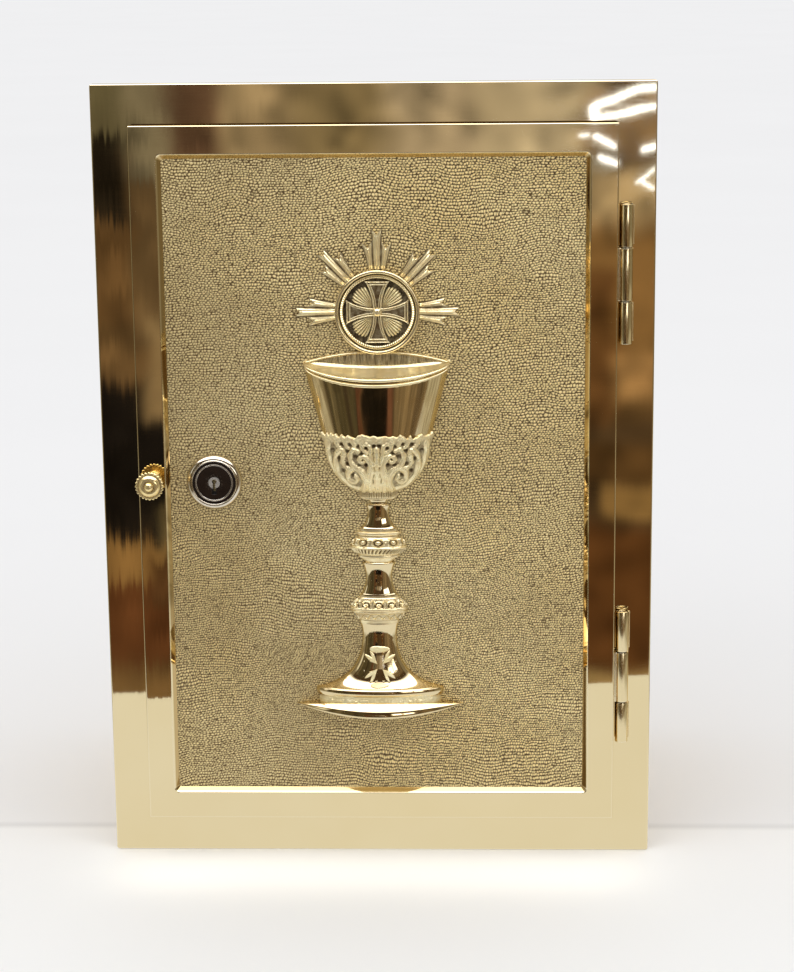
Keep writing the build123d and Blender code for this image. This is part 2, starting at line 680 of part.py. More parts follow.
BOWL_WALL = (31.9, 41.0)
CALYX_WALL = ((25.2, 14.0), (21.6, 6.0), (16.8, 0.4))
COLLAR_MID_Z = -6.3
COLLAR_BULGE = 0.6
UPPER_RING_R = 6.0
UPPER_RING_H = 1.9
UPPER_WAIST = (5.1, -17.0)
UPPER_FOOT_R = 6.9
UPPER_KNOP_TOP_R = 7.4
UPPER_KNOP_SHOULDER = ((9.6, -26.0), (10.2, -28.2))
UPPER_KNOP_BULGE = ((14.6, -31.8), (14.0, -35.8))
UPPER_KNOP_TAPER = (10.4, -39.1)
UPPER_KNOP_FOOT_R = 6.9
MIDDLE_RING_R = 8.0
MIDDLE_RING_H = 1.6
MIDDLE_WAIST = (6.3, -51.0)
MIDDLE_FOOT_R = 9.4
LOWER_KNOP_TOP_R = 9.8
LOWER_KNOP_SHOULDER = (11.7, -61.8)
LOWER_KNOP_BULGE = ((14.3, -66.3), (11.7, -70.8))
LOWER_KNOP_FOOT_R = 10.2
LOWER_KNOP_LIP_Z = -72.2


def mouth_arc(radius, height, sag):
    """Middle and radius of the arc that passes through (+-radius, height) and dips by sag between them."""
    curve = (radius**2 + sag**2) / (2 * abs(sag))
    return height - sag + curve, curve


with BuildPart() as chalice_bowl:
    with BuildSketch(Plane.XZ):
        with BuildLine():
            side = ThreePointArc((RIM_R, RIM_Z), BOWL_WALL, (CALYX_R, CALYX_Z))
            Polyline(side @ 1, (0, CALYX_Z), (0, RIM_Z), side @ 0)
        make_face()
    turn_front_half()
    mouth_z, mouth_r = mouth_arc(RIM_R, RIM_Z, LIP_SAG)
    with BuildSketch(Plane.XZ):
        with Locations((0, mouth_z)):
            Circle(mouth_r)
    extrude(amount=2 * RIM_R, dir=MOUTH_LEAN, mode=Mode.SUBTRACT)
place_casting(chalice_bowl.part, "chalice_bowl", relief_screw_z["bowl"])

# the far side of the mouth: a thin backing and the wire of the rim, both stopping at the host's ring
BACK_RIM_RISE = 5.6
BACK_RIM_W = 1.6
BACKING_GAP = 0.4
BACKING_T = 0.8
RIM_WIRE_T = 1.8

with BuildPart() as chalice_rim_back:
    for drop, height in ((LIP_SAG - BACKING_GAP, BACKING_T), (-BACK_RIM_RISE + BACK_RIM_W, RIM_WIRE_T)):
        with BuildSketch(Plane.XZ):
            with BuildLine():
                top = ThreePointArc((-RIM_R, RIM_Z), (0, RIM_Z + BACK_RIM_RISE), (RIM_R, RIM_Z))
                inset = RIM_R - BACK_RIM_W / 2
                low = ThreePointArc((inset, RIM_Z), (0, RIM_Z - drop), (-inset, RIM_Z))
                Line(top @ 1, low @ 0)
                Line(low @ 1, top @ 0)
            make_face()
            with Locations((HOST_X - RELIEF_X, HOST_Z)):
                Circle(HOST_R + HOST_GAP, mode=Mode.SUBTRACT)
        extrude(amount=height)
place_casting(chalice_rim_back.part, "chalice_rim_back")

with BuildPart() as chalice_calyx:
    with BuildSketch(Plane.XZ):
        with BuildLine():
            upper = ThreePointArc((CALYX_R, CALYX_Z), CALYX_WALL[0], CALYX_WALL[1])
            lower = ThreePointArc(upper @ 1, CALYX_WALL[2], (COLLAR_R, COLLAR_Z))
            Polyline(lower @ 1, (0, COLLAR_Z), (0, CALYX_Z), upper @ 0)
        make_face()
    turn_front_half()
place_casting(chalice_calyx.part, "chalice_calyx")

with BuildPart() as chalice_collar:
    with BuildSketch(Plane.XZ):
        with BuildLine():
            swell = (COLLAR_R + COLLAR_BULGE, COLLAR_MID_Z)
            bead = ThreePointArc((COLLAR_R, COLLAR_Z), swell, (COLLAR_R - COLLAR_BULGE, UPPER_STEM_Z))
            Polyline(bead @ 1, (0, UPPER_STEM_Z), (0, COLLAR_Z), bead @ 0)
        make_face()
    turn_front_half()
place_casting(chalice_collar.part, "chalice_collar")

with BuildPart() as chalice_upper_stem:
    with BuildSketch(Plane.XZ):
        with BuildLine():
            ring = Line((UPPER_RING_R, UPPER_STEM_Z), (UPPER_RING_R, UPPER_STEM_Z - UPPER_RING_H))
            waist = ThreePointArc(ring @ 1, UPPER_WAIST, (UPPER_FOOT_R, UPPER_KNOP_Z))
            Polyline(waist @ 1, (0, UPPER_KNOP_Z), (0, UPPER_STEM_Z), ring @ 0)
        make_face()
    turn_front_half()
place_casting(chalice_upper_stem.part, "chalice_upper_stem")

with BuildPart() as chalice_upper_knop:
    with BuildSketch(Plane.XZ):
        with BuildLine():
            shoulder = Polyline((UPPER_KNOP_TOP_R, UPPER_KNOP_Z), *UPPER_KNOP_SHOULDER)
            bulge = ThreePointArc(shoulder @ 1, *UPPER_KNOP_BULGE)
            taper = Polyline(bulge @ 1, UPPER_KNOP_TAPER, (UPPER_KNOP_FOOT_R, MIDDLE_STEM_Z))
            Polyline(taper @ 1, (0, MIDDLE_STEM_Z), (0, UPPER_KNOP_Z), shoulder @ 0)
        make_face()
    turn_front_half()
place_casting(chalice_upper_knop.part, "chalice_upper_knop", relief_screw_z["upper_knop"])

with BuildPart() as chalice_middle_stem:
    with BuildSketch(Plane.XZ):
        with BuildLine():
            ring = Line((MIDDLE_RING_R, MIDDLE_STEM_Z), (MIDDLE_RING_R, MIDDLE_STEM_Z - MIDDLE_RING_H))
            waist = ThreePointArc(ring @ 1, MIDDLE_WAIST, (MIDDLE_FOOT_R, LOWER_KNOP_Z))
            Polyline(waist @ 1, (0, LOWER_KNOP_Z), (0, MIDDLE_STEM_Z), ring @ 0)
        make_face()
    turn_front_half()
place_casting(chalice_middle_stem.part, "chalice_middle_stem")

with BuildPart() as chalice_lower_knop:
    with BuildSketch(Plane.XZ):
        with BuildLine():
            shoulder = Line((LOWER_KNOP_TOP_R, LOWER_KNOP_Z), LOWER_KNOP_SHOULDER)
            bulge = ThreePointArc(shoulder @ 1, *LOWER_KNOP_BULGE)
            lip = Polyline(bulge @ 1, (LOWER_KNOP_FOOT_R, LOWER_KNOP_LIP_Z), (LOWER_KNOP_FOOT_R, FOOT_Z))
            Polyline(lip @ 1, (0, FOOT_Z), (0, LOWER_KNOP_Z), shoulder @ 0)
        make_face()
    turn_front_half()
place_casting(chalice_lower_knop.part, "chalice_lower_knop", relief_screw_z["lower_knop"])

FOOT_R = 32.8
FOOT_TOP_R = 9.9
FOOT_STEM = ((8.8, -83.0), (10.8, -93.0))
FOOT_FLARE = ((15.6, -100.3), (22.3, -104.8))
FOOT_EDGE_Z = (-108.9, -110.3)
FOOT_UNDERCUT = 1.4

with BuildPart() as chalice_foot:
    with BuildSketch(Plane.XZ):
        with BuildLine():
            stem = ThreePointArc((FOOT_TOP_R, FOOT_Z), *FOOT_STEM)
            flare = ThreePointArc(stem @ 1, *FOOT_FLARE)
            edge = [(FOOT_R, z) for z in FOOT_EDGE_Z]
            rim = Polyline(flare @ 1, *edge, (FOOT_R - FOOT_UNDERCUT, BASE_Z))
            Polyline(rim @ 1, (0, BASE_Z), (0, FOOT_Z), stem @ 0)
        make_face()
    turn_front_half()
place_casting(chalice_foot.part, "chalice_foot", relief_screw_z["foot"])

BASE_R = 43.5
BASE_TIP_Z = -117.6
BASE_TOP_Z = -113.9  # middle of the crescent's upper edge
BASE_LOW_Z = -120.7  # middle of its lower edge
BASE_PAD_R = 30.5
BASE_PAD_LIFT = 0.5  # from the crescent's points to the underside of the pad

with BuildPart() as chalice_base:
    # a crescent that thins out to its two points
    with BuildSketch(Plane.XZ):
        with BuildLine():
            ThreePointArc((-BASE_R, BASE_TIP_Z), (0, BASE_TOP_Z), (BASE_R, BASE_TIP_Z))
            ThreePointArc((BASE_R, BASE_TIP_Z), (0, BASE_LOW_Z), (-BASE_R, BASE_TIP_Z))
        make_face()
    extrude(amount=BASE_R)
    with BuildSketch(Plane.XY.offset(BASE_LOW_Z)):
        Ellipse(BASE_R, BASE_R * RELIEF_FLATTEN)
    extrude(amount=BASE_TOP_Z - BASE_LOW_Z, mode=Mode.INTERSECT)
    # the pad between it and the foot
    with BuildSketch(Plane.XY.offset(BASE_TIP_Z + BASE_PAD_LIFT)):
        Ellipse(BASE_PAD_R, BASE_PAD_R * RELIEF_FLATTEN)
        with Locations((0, BASE_PAD_R / 2)):
            Rectangle(2 * BASE_PAD_R, BASE_PAD_R, mode=Mode.SUBTRACT)
    extrude(amount=BASE_Z - BASE_TIP_Z - BASE_PAD_LIFT)
place_casting(chalice_base.part, "chalice_base")

# ==== the host ================================================================================
RING_T = 4.5
RING_IN_R = 17.0
RING_STEP_R = 19.1
RING_STEP = 1.2  # how far the ring's inner part lies below its rim
RING_EDGE_R = 0.9
DISC_T = 1.6
CROSS_T = 1.6
CROSS_REACH = 15.6
CROSS_END_W = 12.6
CROSS_WAIST_W = 5.6
CROSS_NECK = 5.0  # from the centre to where the arms start to flare
CROSS_GAP = 0.3  # between the arms and the fans
FAN_R = 15.4
FAN_T = 1.2
BOSS_R = 2.0
BOSS_T = 2.6
BOSS_EDGE_R = 1.6
RAY_T = 1.8
RAY_NOTCH = 39.9  # from the host's centre to the notch between a ray's two points
RAY_SIDE = ((4.2, HOST_R + HOST_GAP), (6.5, 34.6), (4.8, 33.2), (2.4, 34.8), (2.2, 41.6))


def host_plane(height):
    """A plane that faces the viewer, with its origin on the host's centre, above the panel."""
    return Plane(origin=(HOST_X, PANEL_FRONT_Y - height, HOST_Z), x_dir=(1, 0, 0), z_dir=(0, -1, 0))


def cross_arms(margin, mode=Mode.ADD):
    """Four flared arms; margin widens them all round."""
    waist = CROSS_WAIST_W / 2 + margin
    end = CROSS_END_W / 2 + margin
    reach = CROSS_REACH + margin
    side = [(waist, 0), (waist, CROSS_NECK), (end, reach)]
    outline = [(-x, z) for x, z in side] + side[::-1]
    with PolarLocations(0, 4):
        Polygon(*outline, align=None, mode=mode)


with BuildPart() as host_ring:
    with BuildSketch(host_plane(0)):
        Circle(HOST_R)
        Circle(RING_IN_R, mode=Mode.SUBTRACT)
    extrude(amount=RING_T - RING_STEP)
    with BuildSketch(host_plane(0)):
        Circle(HOST_R)
        Circle(RING_STEP_R, mode=Mode.SUBTRACT)
    extrude(amount=RING_T)
    fillet(host_ring.faces().sort_by(Axis.Y)[0].edges(), radius=RING_EDGE_R)
save(host_ring.part, "host_ring")

with BuildPart() as host_disc:
    with BuildSketch(host_plane(0)):
        Circle(RING_IN_R)
    extrude(amount=DISC_T)
    with BuildSketch(host_plane(0)):
        Circle(RELIEF_SCREW_R)
    extrude(amount=RELIEF_SCREW_BITE, mode=Mode.SUBTRACT)
save(host_disc.part, "host_disc")

with BuildPart() as host_cross:
    with BuildSketch(host_plane(DISC_T)):
        cross_arms(0)
        Circle(BOSS_R, mode=Mode.SUBTRACT)
    extrude(amount=CROSS_T)
save(host_cross.part, "host_cross")

with BuildPart() as host_fans:
    with BuildSketch(host_plane(DISC_T)):
        Circle(FAN_R)
        cross_arms(CROSS_GAP, mode=Mode.SUBTRACT)
    extrude(amount=FAN_T)
group(host_fans.solids(), "host_fans")

with BuildPart() as host_boss:
    with BuildSketch(host_plane(DISC_T)):
        Circle(BOSS_R)
    extrude(amount=BOSS_T)
    fillet(host_boss.faces().sort_by(Axis.Y)[0].edges(), radius=BOSS_EDGE_R)
save(host_boss.part, "host_boss")

ray_outline = [(-x, z) for x, z in RAY_SIDE] + [(0, RAY_NOTCH)] + list(RAY_SIDE[::-1])

with BuildPart() as host_rays:
    with BuildSketch(host_plane(0)):
        with Locations(*[Location((0, 0, 0), (0, 0, angle - 90)) for angle in RAY_ANGLES]):
            Polygon(*ray_outline, align=None)
    extrude(amount=RAY_T)
group(host_rays.solids(), "host_rays")
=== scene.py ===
"""Looks of a recessed wall tabernacle: mirror brass, a grained brass panel, a chalice and host in relief.

Pieces are laid out in millimetres, and MM turns them into metres. Materials and the stage are in metres.
Relief pieces have their own terms: x to the right, out towards the viewer, and z up from a place on the door.
"""

import math

import bmesh
import bpy
import numpy as np
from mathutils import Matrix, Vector


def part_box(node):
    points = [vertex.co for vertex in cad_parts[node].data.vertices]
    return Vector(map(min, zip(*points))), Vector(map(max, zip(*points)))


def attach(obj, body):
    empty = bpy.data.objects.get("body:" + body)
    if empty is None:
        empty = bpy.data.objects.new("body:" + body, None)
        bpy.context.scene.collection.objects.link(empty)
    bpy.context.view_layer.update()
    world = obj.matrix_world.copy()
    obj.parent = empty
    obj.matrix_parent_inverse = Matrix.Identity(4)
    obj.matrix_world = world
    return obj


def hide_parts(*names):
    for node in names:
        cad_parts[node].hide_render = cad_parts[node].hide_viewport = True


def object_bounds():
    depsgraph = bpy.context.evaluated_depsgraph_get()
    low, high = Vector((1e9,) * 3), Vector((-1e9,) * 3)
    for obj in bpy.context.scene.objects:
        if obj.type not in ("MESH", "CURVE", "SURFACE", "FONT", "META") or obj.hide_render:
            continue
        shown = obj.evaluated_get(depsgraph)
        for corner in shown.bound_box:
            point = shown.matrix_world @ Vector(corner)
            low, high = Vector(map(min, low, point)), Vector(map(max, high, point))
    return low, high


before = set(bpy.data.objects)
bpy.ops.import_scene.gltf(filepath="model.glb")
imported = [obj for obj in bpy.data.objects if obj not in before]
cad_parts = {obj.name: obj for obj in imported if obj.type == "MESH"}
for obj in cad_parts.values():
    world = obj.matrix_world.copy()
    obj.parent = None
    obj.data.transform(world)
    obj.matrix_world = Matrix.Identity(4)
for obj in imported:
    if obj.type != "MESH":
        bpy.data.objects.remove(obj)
cad_low, cad_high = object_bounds()
scene = bpy.context.scene

MM = 0.001
FLATTEN = 0.42  # depth of the half-round castings over their half-width
SINK = 0.25  # how far a casting's flat back sits below the tops of the panel's grain
LIP = 0.06  # least height of a casting's edge


def span(node):
    """Lowest and highest corner of a CAD node, in millimetres."""
    low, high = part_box(node)
    return np.array(low) / MM, np.array(high) / MM


def middle(node):
    """Middle of a CAD node's box, in millimetres."""
    low, high = span(node)
    return (low + high) / 2


PANEL_LOW, PANEL_HIGH = span("door_panel")
PANEL_Y = PANEL_LOW[1]
AXIS_X = middle("chalice_bowl")[0]
HOST_X, _, HOST_Z = middle("host_ring")
LOCK_X, _, LOCK_Z = middle("lock_bezel")
KNOB_X, _, KNOB_Z = middle("knob_rose")
DOOR_Y = span("door_frame")[0][1]
FLOOR_Z = cad_low[2]  # in metres
FRONT_Y = span("face_frame")[0][1]

# the places that pieces are laid out from
PANEL_AT = (0.0, PANEL_Y, 0.0)
CHALICE_AT = (AXIS_X, PANEL_Y, 0.0)
HOST_AT = (HOST_X, PANEL_Y, HOST_Z)
KNOB_AT = (KNOB_X, DOOR_Y, KNOB_Z)
LOCK_AT = (LOCK_X, PANEL_Y, LOCK_Z)

# ==== numbers and shapes ======================================================================


def ramp(value, start, end):
    """0 before start, 1 after end, and smooth between them."""
    t = np.clip((value - start) / (end - start), 0, 1)
    return t * t * (3 - 2 * t)


def between(value, start, end, soft=0.4):
    """1 from start to end, with soft edges inside them."""
    return ramp(value, start, start + soft) * (1 - ramp(value, end - soft, end))


def soft_noise(x, z, size, seed):
    """Smooth noise from -1 to 1 with features of about that size."""
    cells = 128
    lattice = np.random.default_rng(seed).uniform(-1, 1, (cells, cells))
    u, v = x / size, z / size
    i, j = np.floor(u).astype(int), np.floor(v).astype(int)
    fu, fv = ramp(u - i, 0, 1), ramp(v - j, 0, 1)

    def along_row(row):
        return lattice[i % cells, row % cells] * (1 - fu) + lattice[(i + 1) % cells, row % cells] * fu

    return along_row(j) * (1 - fv) + along_row(j + 1) * fv


def ridge(distance, half_width):
    """A half-round bead: 1 on its line and 0 beyond its half-width."""
    return np.sqrt(np.clip(1 - (distance / half_width) ** 2, 0, 1))


def dent(distance, half_width):
    """A soft hollow: 1 on its line."""
    return np.exp(-((distance / half_width) ** 2))


def arc(start, through, end, count):
    """Points of the arc from start through a point to end."""
    (ax, ay), (bx, by), (cx, cy) = start, through, end
    turn = 2 * (ax * (by - cy) + bx * (cy - ay) + cx * (ay - by))
    a2, b2, c2 = ax * ax + ay * ay, bx * bx + by * by, cx * cx + cy * cy
    ux = (a2 * (by - cy) + b2 * (cy - ay) + c2 * (ay - by)) / turn
    uy = (a2 * (cx - bx) + b2 * (ax - cx) + c2 * (bx - ax)) / turn
    radius = math.hypot(ax - ux, ay - uy)
    first = math.atan2(ay - uy, ax - ux)
    whole = 2 * math.pi
    to_mid = (math.atan2(by - uy, bx - ux) - first) % whole
    to_end = (math.atan2(cy - uy, cx - ux) - first) % whole
    if to_mid > to_end:
        to_end -= whole
    angles = first + to_end * np.linspace(0, 1, count)
    return [(ux + radius * math.cos(a), uy + radius * math.sin(a)) for a in angles]


def resample(points, step):
    """The same line with points about step apart."""
    line = np.array(points, float)
    lengths = np.hypot(*np.diff(line, axis=0).T)
    along = np.concatenate([[0], np.cumsum(lengths)])
    places = np.linspace(0, along[-1], max(2, int(round(along[-1] / step)) + 1))
    return np.stack([np.interp(places, along, line[:, k]) for k in range(line.shape[1])], -1)


def curve_through(points, count=48):
    """A smooth line through a few points (Catmull-Rom)."""
    p = np.array(points, float)
    p = np.concatenate([[2 * p[0] - p[1]], p, [2 * p[-1] - p[-2]]])
    t = np.linspace(0, len(points) - 1, count)
    i = np.minimum(t.astype(int), len(points) - 2)
    f = (t - i)[:, None]
    a, b, c, d = p[i], p[i + 1], p[i + 2], p[i + 3]
    return 0.5 * (2 * b + (c - a) * f + (2 * a - 5 * b + 4 * c - d) * f**2 + (3 * b - a - 3 * c + d) * f**3)


# ==== meshes ==================================================================================


def grid_faces(rows, columns, flip=False, first=0, closed=False):
    """Quads of a grid, optionally joined end to end both ways."""
    index = np.arange(rows * columns).reshape(rows, columns) + first
    if closed:
        index = np.concatenate([index, index[:, :1]], 1)
        index = np.concatenate([index, index[:1]], 0)
    corners = [index[:-1, :-1], index[:-1, 1:], index[1:, 1:], index[1:, :-1]]
    quads = np.stack(corners, -1).reshape(-1, 4)
    return quads[:, ::-1] if flip else quads


def flat_backed(front, level=-SINK):
    """Closed solid from a front grid down to a level, which is where castings sit on the panel.
    The grid's rows run up and its columns run to the right."""
    back = front.copy()
    back[..., 1] = level
    rows, columns = front.shape[:2]
    count = rows * columns
    index = np.arange(count).reshape(rows, columns)
    rim = np.concatenate([index[0, :-1], index[:-1, -1], index[-1, :0:-1], index[:0:-1, 0]])
    onward = np.roll(rim, -1)
    sides = np.stack([onward, rim, rim + count, onward + count], -1)
    faces = [grid_faces(rows, columns), grid_faces(rows, columns, True, count), sides]
    return np.concatenate([front.reshape(-1, 3), back.reshape(-1, 3)]), np.concatenate(faces)


def both_sides(values):
    """A value for each point of a flat-backed solid, from one for each point of its front grid."""
    return np.concatenate([values.ravel(), values.ravel()])


def join(parts):
    """Several solids, each with its hollows, as one."""
    points, faces, first = [], [], 0
    for (solid_points, solid_faces), _ in parts:
        points.append(solid_points)
        faces.append(solid_faces + first)
        first += len(solid_points)
    hollow = np.concatenate([part_hollow for _, part_hollow in parts])
    return (np.concatenate(points), np.concatenate(faces)), hollow


def facing_normals(points):
    """Unit normals of a front grid, towards the viewer."""
    n = np.cross(np.gradient(points, axis=0), np.gradient(points, axis=1))
    return n / np.maximum(np.linalg.norm(n, axis=-1, keepdims=True), 1e-9)


def turned(outline, columns, relief, step=0.3):
    """Front grid of a half turning, flattened, and its shade. Its outline runs upwards as (radius, height).
    relief gives how far each point is raised, and its shade, from its x, height and angle."""
    path = resample(outline, step)
    angle = np.linspace(math.pi, 0, columns)
    x = path[:, :1] * np.cos(angle)
    out = FLATTEN * path[:, :1] * np.sin(angle)
    z = np.broadcast_to(path[:, 1:], x.shape)
    points = np.stack([x, out, z], -1)
    raised, shade = relief(x, z, np.broadcast_to(angle, x.shape))
    points = points + facing_normals(points) * raised[..., None]
    points[..., 1] = np.maximum(points[..., 1], LIP)
    return points, shade


def spun(outline, steps, ripple=None):
    """Solid turned about the out axis. Its outline is a closed loop of (radius, out) points."""
    loop = np.array(outline, float)
    angle = np.linspace(0, 2 * math.pi, steps, endpoint=False)
    radius = np.broadcast_to(loop[:, :1], (len(loop), steps)).copy()
    out = np.broadcast_to(loop[:, 1:], radius.shape).copy()
    if ripple is not None:
        radius, out = ripple(radius, out, np.broadcast_to(angle, radius.shape))
    points = np.stack([radius * np.cos(angle), out, radius * np.sin(angle)], -1)
    return points.reshape(-1, 3), grid_faces(len(loop), steps, closed=True)


def new_object(name, data):
    """An object in the scene, from a mesh, light or camera."""
    made = bpy.data.objects.new(name, data)
    scene.collection.objects.link(made)
    return made


WELD_GAP = 0.004  # points nearer than this are one point
THIN_EDGE = 0.002  # shorter edges are dissolved


def make_piece(name, solid, material, node, hollow=None, at=CHALICE_AT,
               sharp=38, weld=True):
    """A piece on the door that stands for a CAD node. Its solid is laid out from the place at."""
    points, faces = solid
    places = (points * (1, -1, 1) + at) * MM
    mesh = bpy.data.meshes.new(name)
    mesh.from_pydata(places.tolist(), [], faces if isinstance(faces, list) else faces.tolist())
    if hollow is not None:
        attribute = mesh.attributes.new("hollow", "FLOAT", "POINT")
        attribute.data.foreach_set("value", np.asarray(hollow, np.float32))
    if weld:
        edit = bmesh.new()
        edit.from_mesh(mesh)
        bmesh.ops.remove_doubles(edit, verts=edit.verts, dist=WELD_GAP * MM)
        bmesh.ops.dissolve_degenerate(edit, edges=edit.edges, dist=THIN_EDGE * MM)
        bmesh.ops.recalc_face_normals(edit, faces=edit.faces)
        edit.to_mesh(mesh)
        edit.free()
    mesh.shade_smooth()
    mesh.set_sharp_from_angle(angle=math.radians(sharp))
    mesh.materials.append(material)
    piece = new_object(name, mesh)
    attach(piece, "door")
    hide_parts(node)


# ==== materials ===============================================================================


class Shader:
    """A material's node tree, with short calls for its nodes."""

    def __init__(self, name):
        self.material = bpy.data.materials.new(name)
        self.material.use_nodes = True
        self.tree = self.material.node_tree
        self.surface = self.tree.nodes["Principled BSDF"]

    def node(self, kind, inputs=(), **settings):
        """A new node with its settings, and its inputs by name or number."""
        made = self.tree.nodes.new(kind)
        for key, value in settings.items():
            setattr(made, key, value)
        for key, value in dict(inputs).items():
            self.feed(made.inputs[key], value)
        return made

    def feed(self, socket, value):
        """Links a socket to another, or sets its value."""
        if isinstance(value, bpy.types.NodeSocket):
            self.tree.links.new(value, socket)
        else:
            socket.default_value = value

    def here(self):
        """The point in the object, in metres."""
        return self.node("ShaderNodeTexCoord").outputs["Object"]

    def axis(self, name):
        """One coordinate of that point."""
        return self.node("ShaderNodeSeparateXYZ", {0: self.here()}).outputs[name]

    def noise(self, scale, detail=3.0, roughness=0.55, stretch=(1, 1, 1), turn=(0, 0, 0)):
        """Noise over that point, stretched and turned."""
        mapping = {"Vector": self.here(), "Scale": stretch, "Rotation": turn}
        place = self.node("ShaderNodeMapping", mapping).outputs["Vector"]
        inputs = {"Vector": place, "Scale": scale, "Detail": detail, "Roughness": roughness}
        return self.node("ShaderNodeTexNoise", inputs).outputs["Fac"]

    def math(self, operation, a, b=0.0):
        return self.node("ShaderNodeMath", {0: a, 1: b}, operation=operation).outputs[0]

    def plus(self, a, b):
        return self.math("ADD", a, b)

    def minus(self, a, b):
        return self.math("SUBTRACT", a, b)

    def times(self, a, b):
        return self.math("MULTIPLY", a, b)

    def vector(self, operation, *inputs, output="Vector"):
        return self.node("ShaderNodeVectorMath", enumerate(inputs), operation=operation).outputs[output]

    def remap(self, value, low, high, to_low=0.0, to_high=1.0):
        inputs = {"Value": value, "From Min": low, "From Max": high, "To Min": to_low, "To Max": to_high}
        return self.node("ShaderNodeMapRange", inputs, clamp=True).outputs["Result"]

    def mix(self, factor, a, b):
        """A blend of two colours, which are a mix node's inputs 6 and 7 and its output 2."""
        return self.node("ShaderNodeMix", {0: factor, 6: a, 7: b}, data_type="RGBA").outputs[2]

    def attribute(self, name, output="Fac"):
        return self.node("ShaderNodeAttribute", attribute_name=name).outputs[output]

    def bump(self, height, distance, under=None):
        inputs = {"Height": height, "Distance": distance, "Strength": 1.0}
        if under is not None:
            inputs["Normal"] = under
        return self.node("ShaderNodeBump", inputs).outputs["Normal"]

    def edge(self, radius):
        """0 on flat stretches, towards 1 near edges."""
        rounded = self.node("ShaderNodeBevel", {"Radius": radius}, samples=4).outputs["Normal"]
        plain = self.node("ShaderNodeNewGeometry").outputs["Normal"]
        return self.remap(self.vector("DOT_PRODUCT", rounded, plain, output="Value"), 1.0, 0.86)

    def finish(self, tint, roughness, normal, metallic=1.0, specular=0.5):
        """The finished material. Without a normal its surface stays smooth."""
        values = (("Base Color", tint), ("Roughness", roughness), ("Metallic", metallic), ("Normal", normal),
                  ("Specular IOR Level", specular))
        for key, value in values:
            if value is not None:
                self.feed(self.surface.inputs[key], value)
        return self.material


def rgb(red, green, blue):
    """An opaque colour."""
    return (red, green, blue, 1.0)


BRASS = rgb(0.85, 0.71, 0.43)
PATINA_AND_SHADE = rgb(0.10, 0.060, 0.022)
RIPPLES = 0.010  # tilt of the plate's buffing ripples


def mirror_brass(name, wave=0.00006, rough=0.018, edge_wear_and_highlight=True, recess=None):
    """Buffed plate: nearly a mirror, with buffing lines, smudges and a slight waviness.
    Behind the depth recess its tint is darker: painted shade on the recess's walls."""
    s = Shader(name)
    blotches = s.noise(9.0, 4.0)
    tint = s.mix(s.remap(blotches, 0.35, 0.7), BRASS, rgb(0.82, 0.67, 0.38))
    buffing = s.noise(60.0, 5.0, stretch=(1.0, 1.0, 60.0))
    smudges = s.remap(s.noise(22.0, 5.0, 0.6), 0.52, 0.75)
    roughness = s.plus(s.remap(buffing, 0.3, 0.75, rough, rough + 0.02), s.times(smudges, 0.035))
    if edge_wear_and_highlight:
        # edges paler and rougher: partly wear, partly a painted highlight along them
        edge = s.edge(0.0012)
        tint = s.mix(edge, tint, rgb(0.93, 0.84, 0.62))
        roughness = s.plus(roughness, s.times(edge, 0.12))
    if recess is not None:
        # painted shade: darker bronze on the recess's walls
        deep_painted_shade = s.remap(s.axis("Y"), (recess + 0.5) * MM, (recess + 0.9) * MM)
        tint = s.mix(deep_painted_shade, tint, rgb(0.58, 0.42, 0.19))
    waves = s.bump(s.noise(13.0, 1.5), wave)
    left = s.remap(s.axis("X"), -0.02, -0.11, 0.12, 1.2)
    where = s.times(s.remap(s.noise(9.0, 2.0), 0.42, 0.66, 0.3, 1.4), left)
    comb = s.minus(s.noise(14.0, 3.0, 0.6, stretch=(34, 1, 1)), 0.5)
    ripple = s.times(s.times(comb, where), RIPPLES)
    tilt = s.node("ShaderNodeCombineXYZ", {"Z": ripple}).outputs["Vector"]
    normal = s.vector("NORMALIZE", s.vector("ADD", waves, tilt))
    return s.finish(tint, roughness, normal)


def cast_brass(name, rough=0.2, bright=BRASS, dark=PATINA_AND_SHADE, grain=0.00003, grain_size=2600.0, metal=0.85):
    """Cast relief: burnished high parts and dark, matt hollows, which the hollow attribute gives; on the
    calyx and the rays it also gives painted shade.
    """
    s = Shader(name)
    hollow = s.attribute("hollow")
    mottle = s.noise(320.0, 4.0, 0.65)
    tint = s.mix(s.remap(mottle, 0.3, 0.72), bright, rgb(0.78, 0.61, 0.33))
    soiled_and_shaded = s.times(s.remap(hollow, 0.18, 0.85), s.remap(mottle, 0.25, 0.6, 0.65, 1.0))
    roughness = s.plus(s.remap(mottle, 0.3, 0.7, rough, rough + 0.1), s.times(hollow, 0.3))
    skin = s.bump(s.noise(grain_size, 2.0), grain)
    return s.finish(s.mix(soiled_and_shaded, tint, dark), roughness, skin, metal)


def chased_brass(name, matt, grain):
    """Mirror brass that is matt and pale where the hollow attribute marks it: chased and granular work, and a
    painted highlight on the bowl's beads.
    """
    s = Shader(name)
    mark = s.attribute("hollow")
    grain_marks = s.noise(2300.0, 3.0, 0.6)
    cloud = s.noise(120.0, 4.0)
    tint = s.mix(s.remap(cloud, 0.3, 0.7), BRASS, rgb(0.80, 0.64, 0.36))
    tint = s.mix(mark, tint, s.mix(s.remap(cloud, 0.4, 0.6), rgb(0.96, 0.86, 0.54), rgb(0.86, 0.72, 0.38)))
    roughness = s.plus(s.remap(cloud, 0.3, 0.7, 0.05, 0.09), s.times(mark, matt))
    skin = s.bump(s.times(grain_marks, mark), grain)
    metallic = s.minus(1.0, s.times(mark, 0.5))
    return s.finish(tint, roughness, skin, metallic)


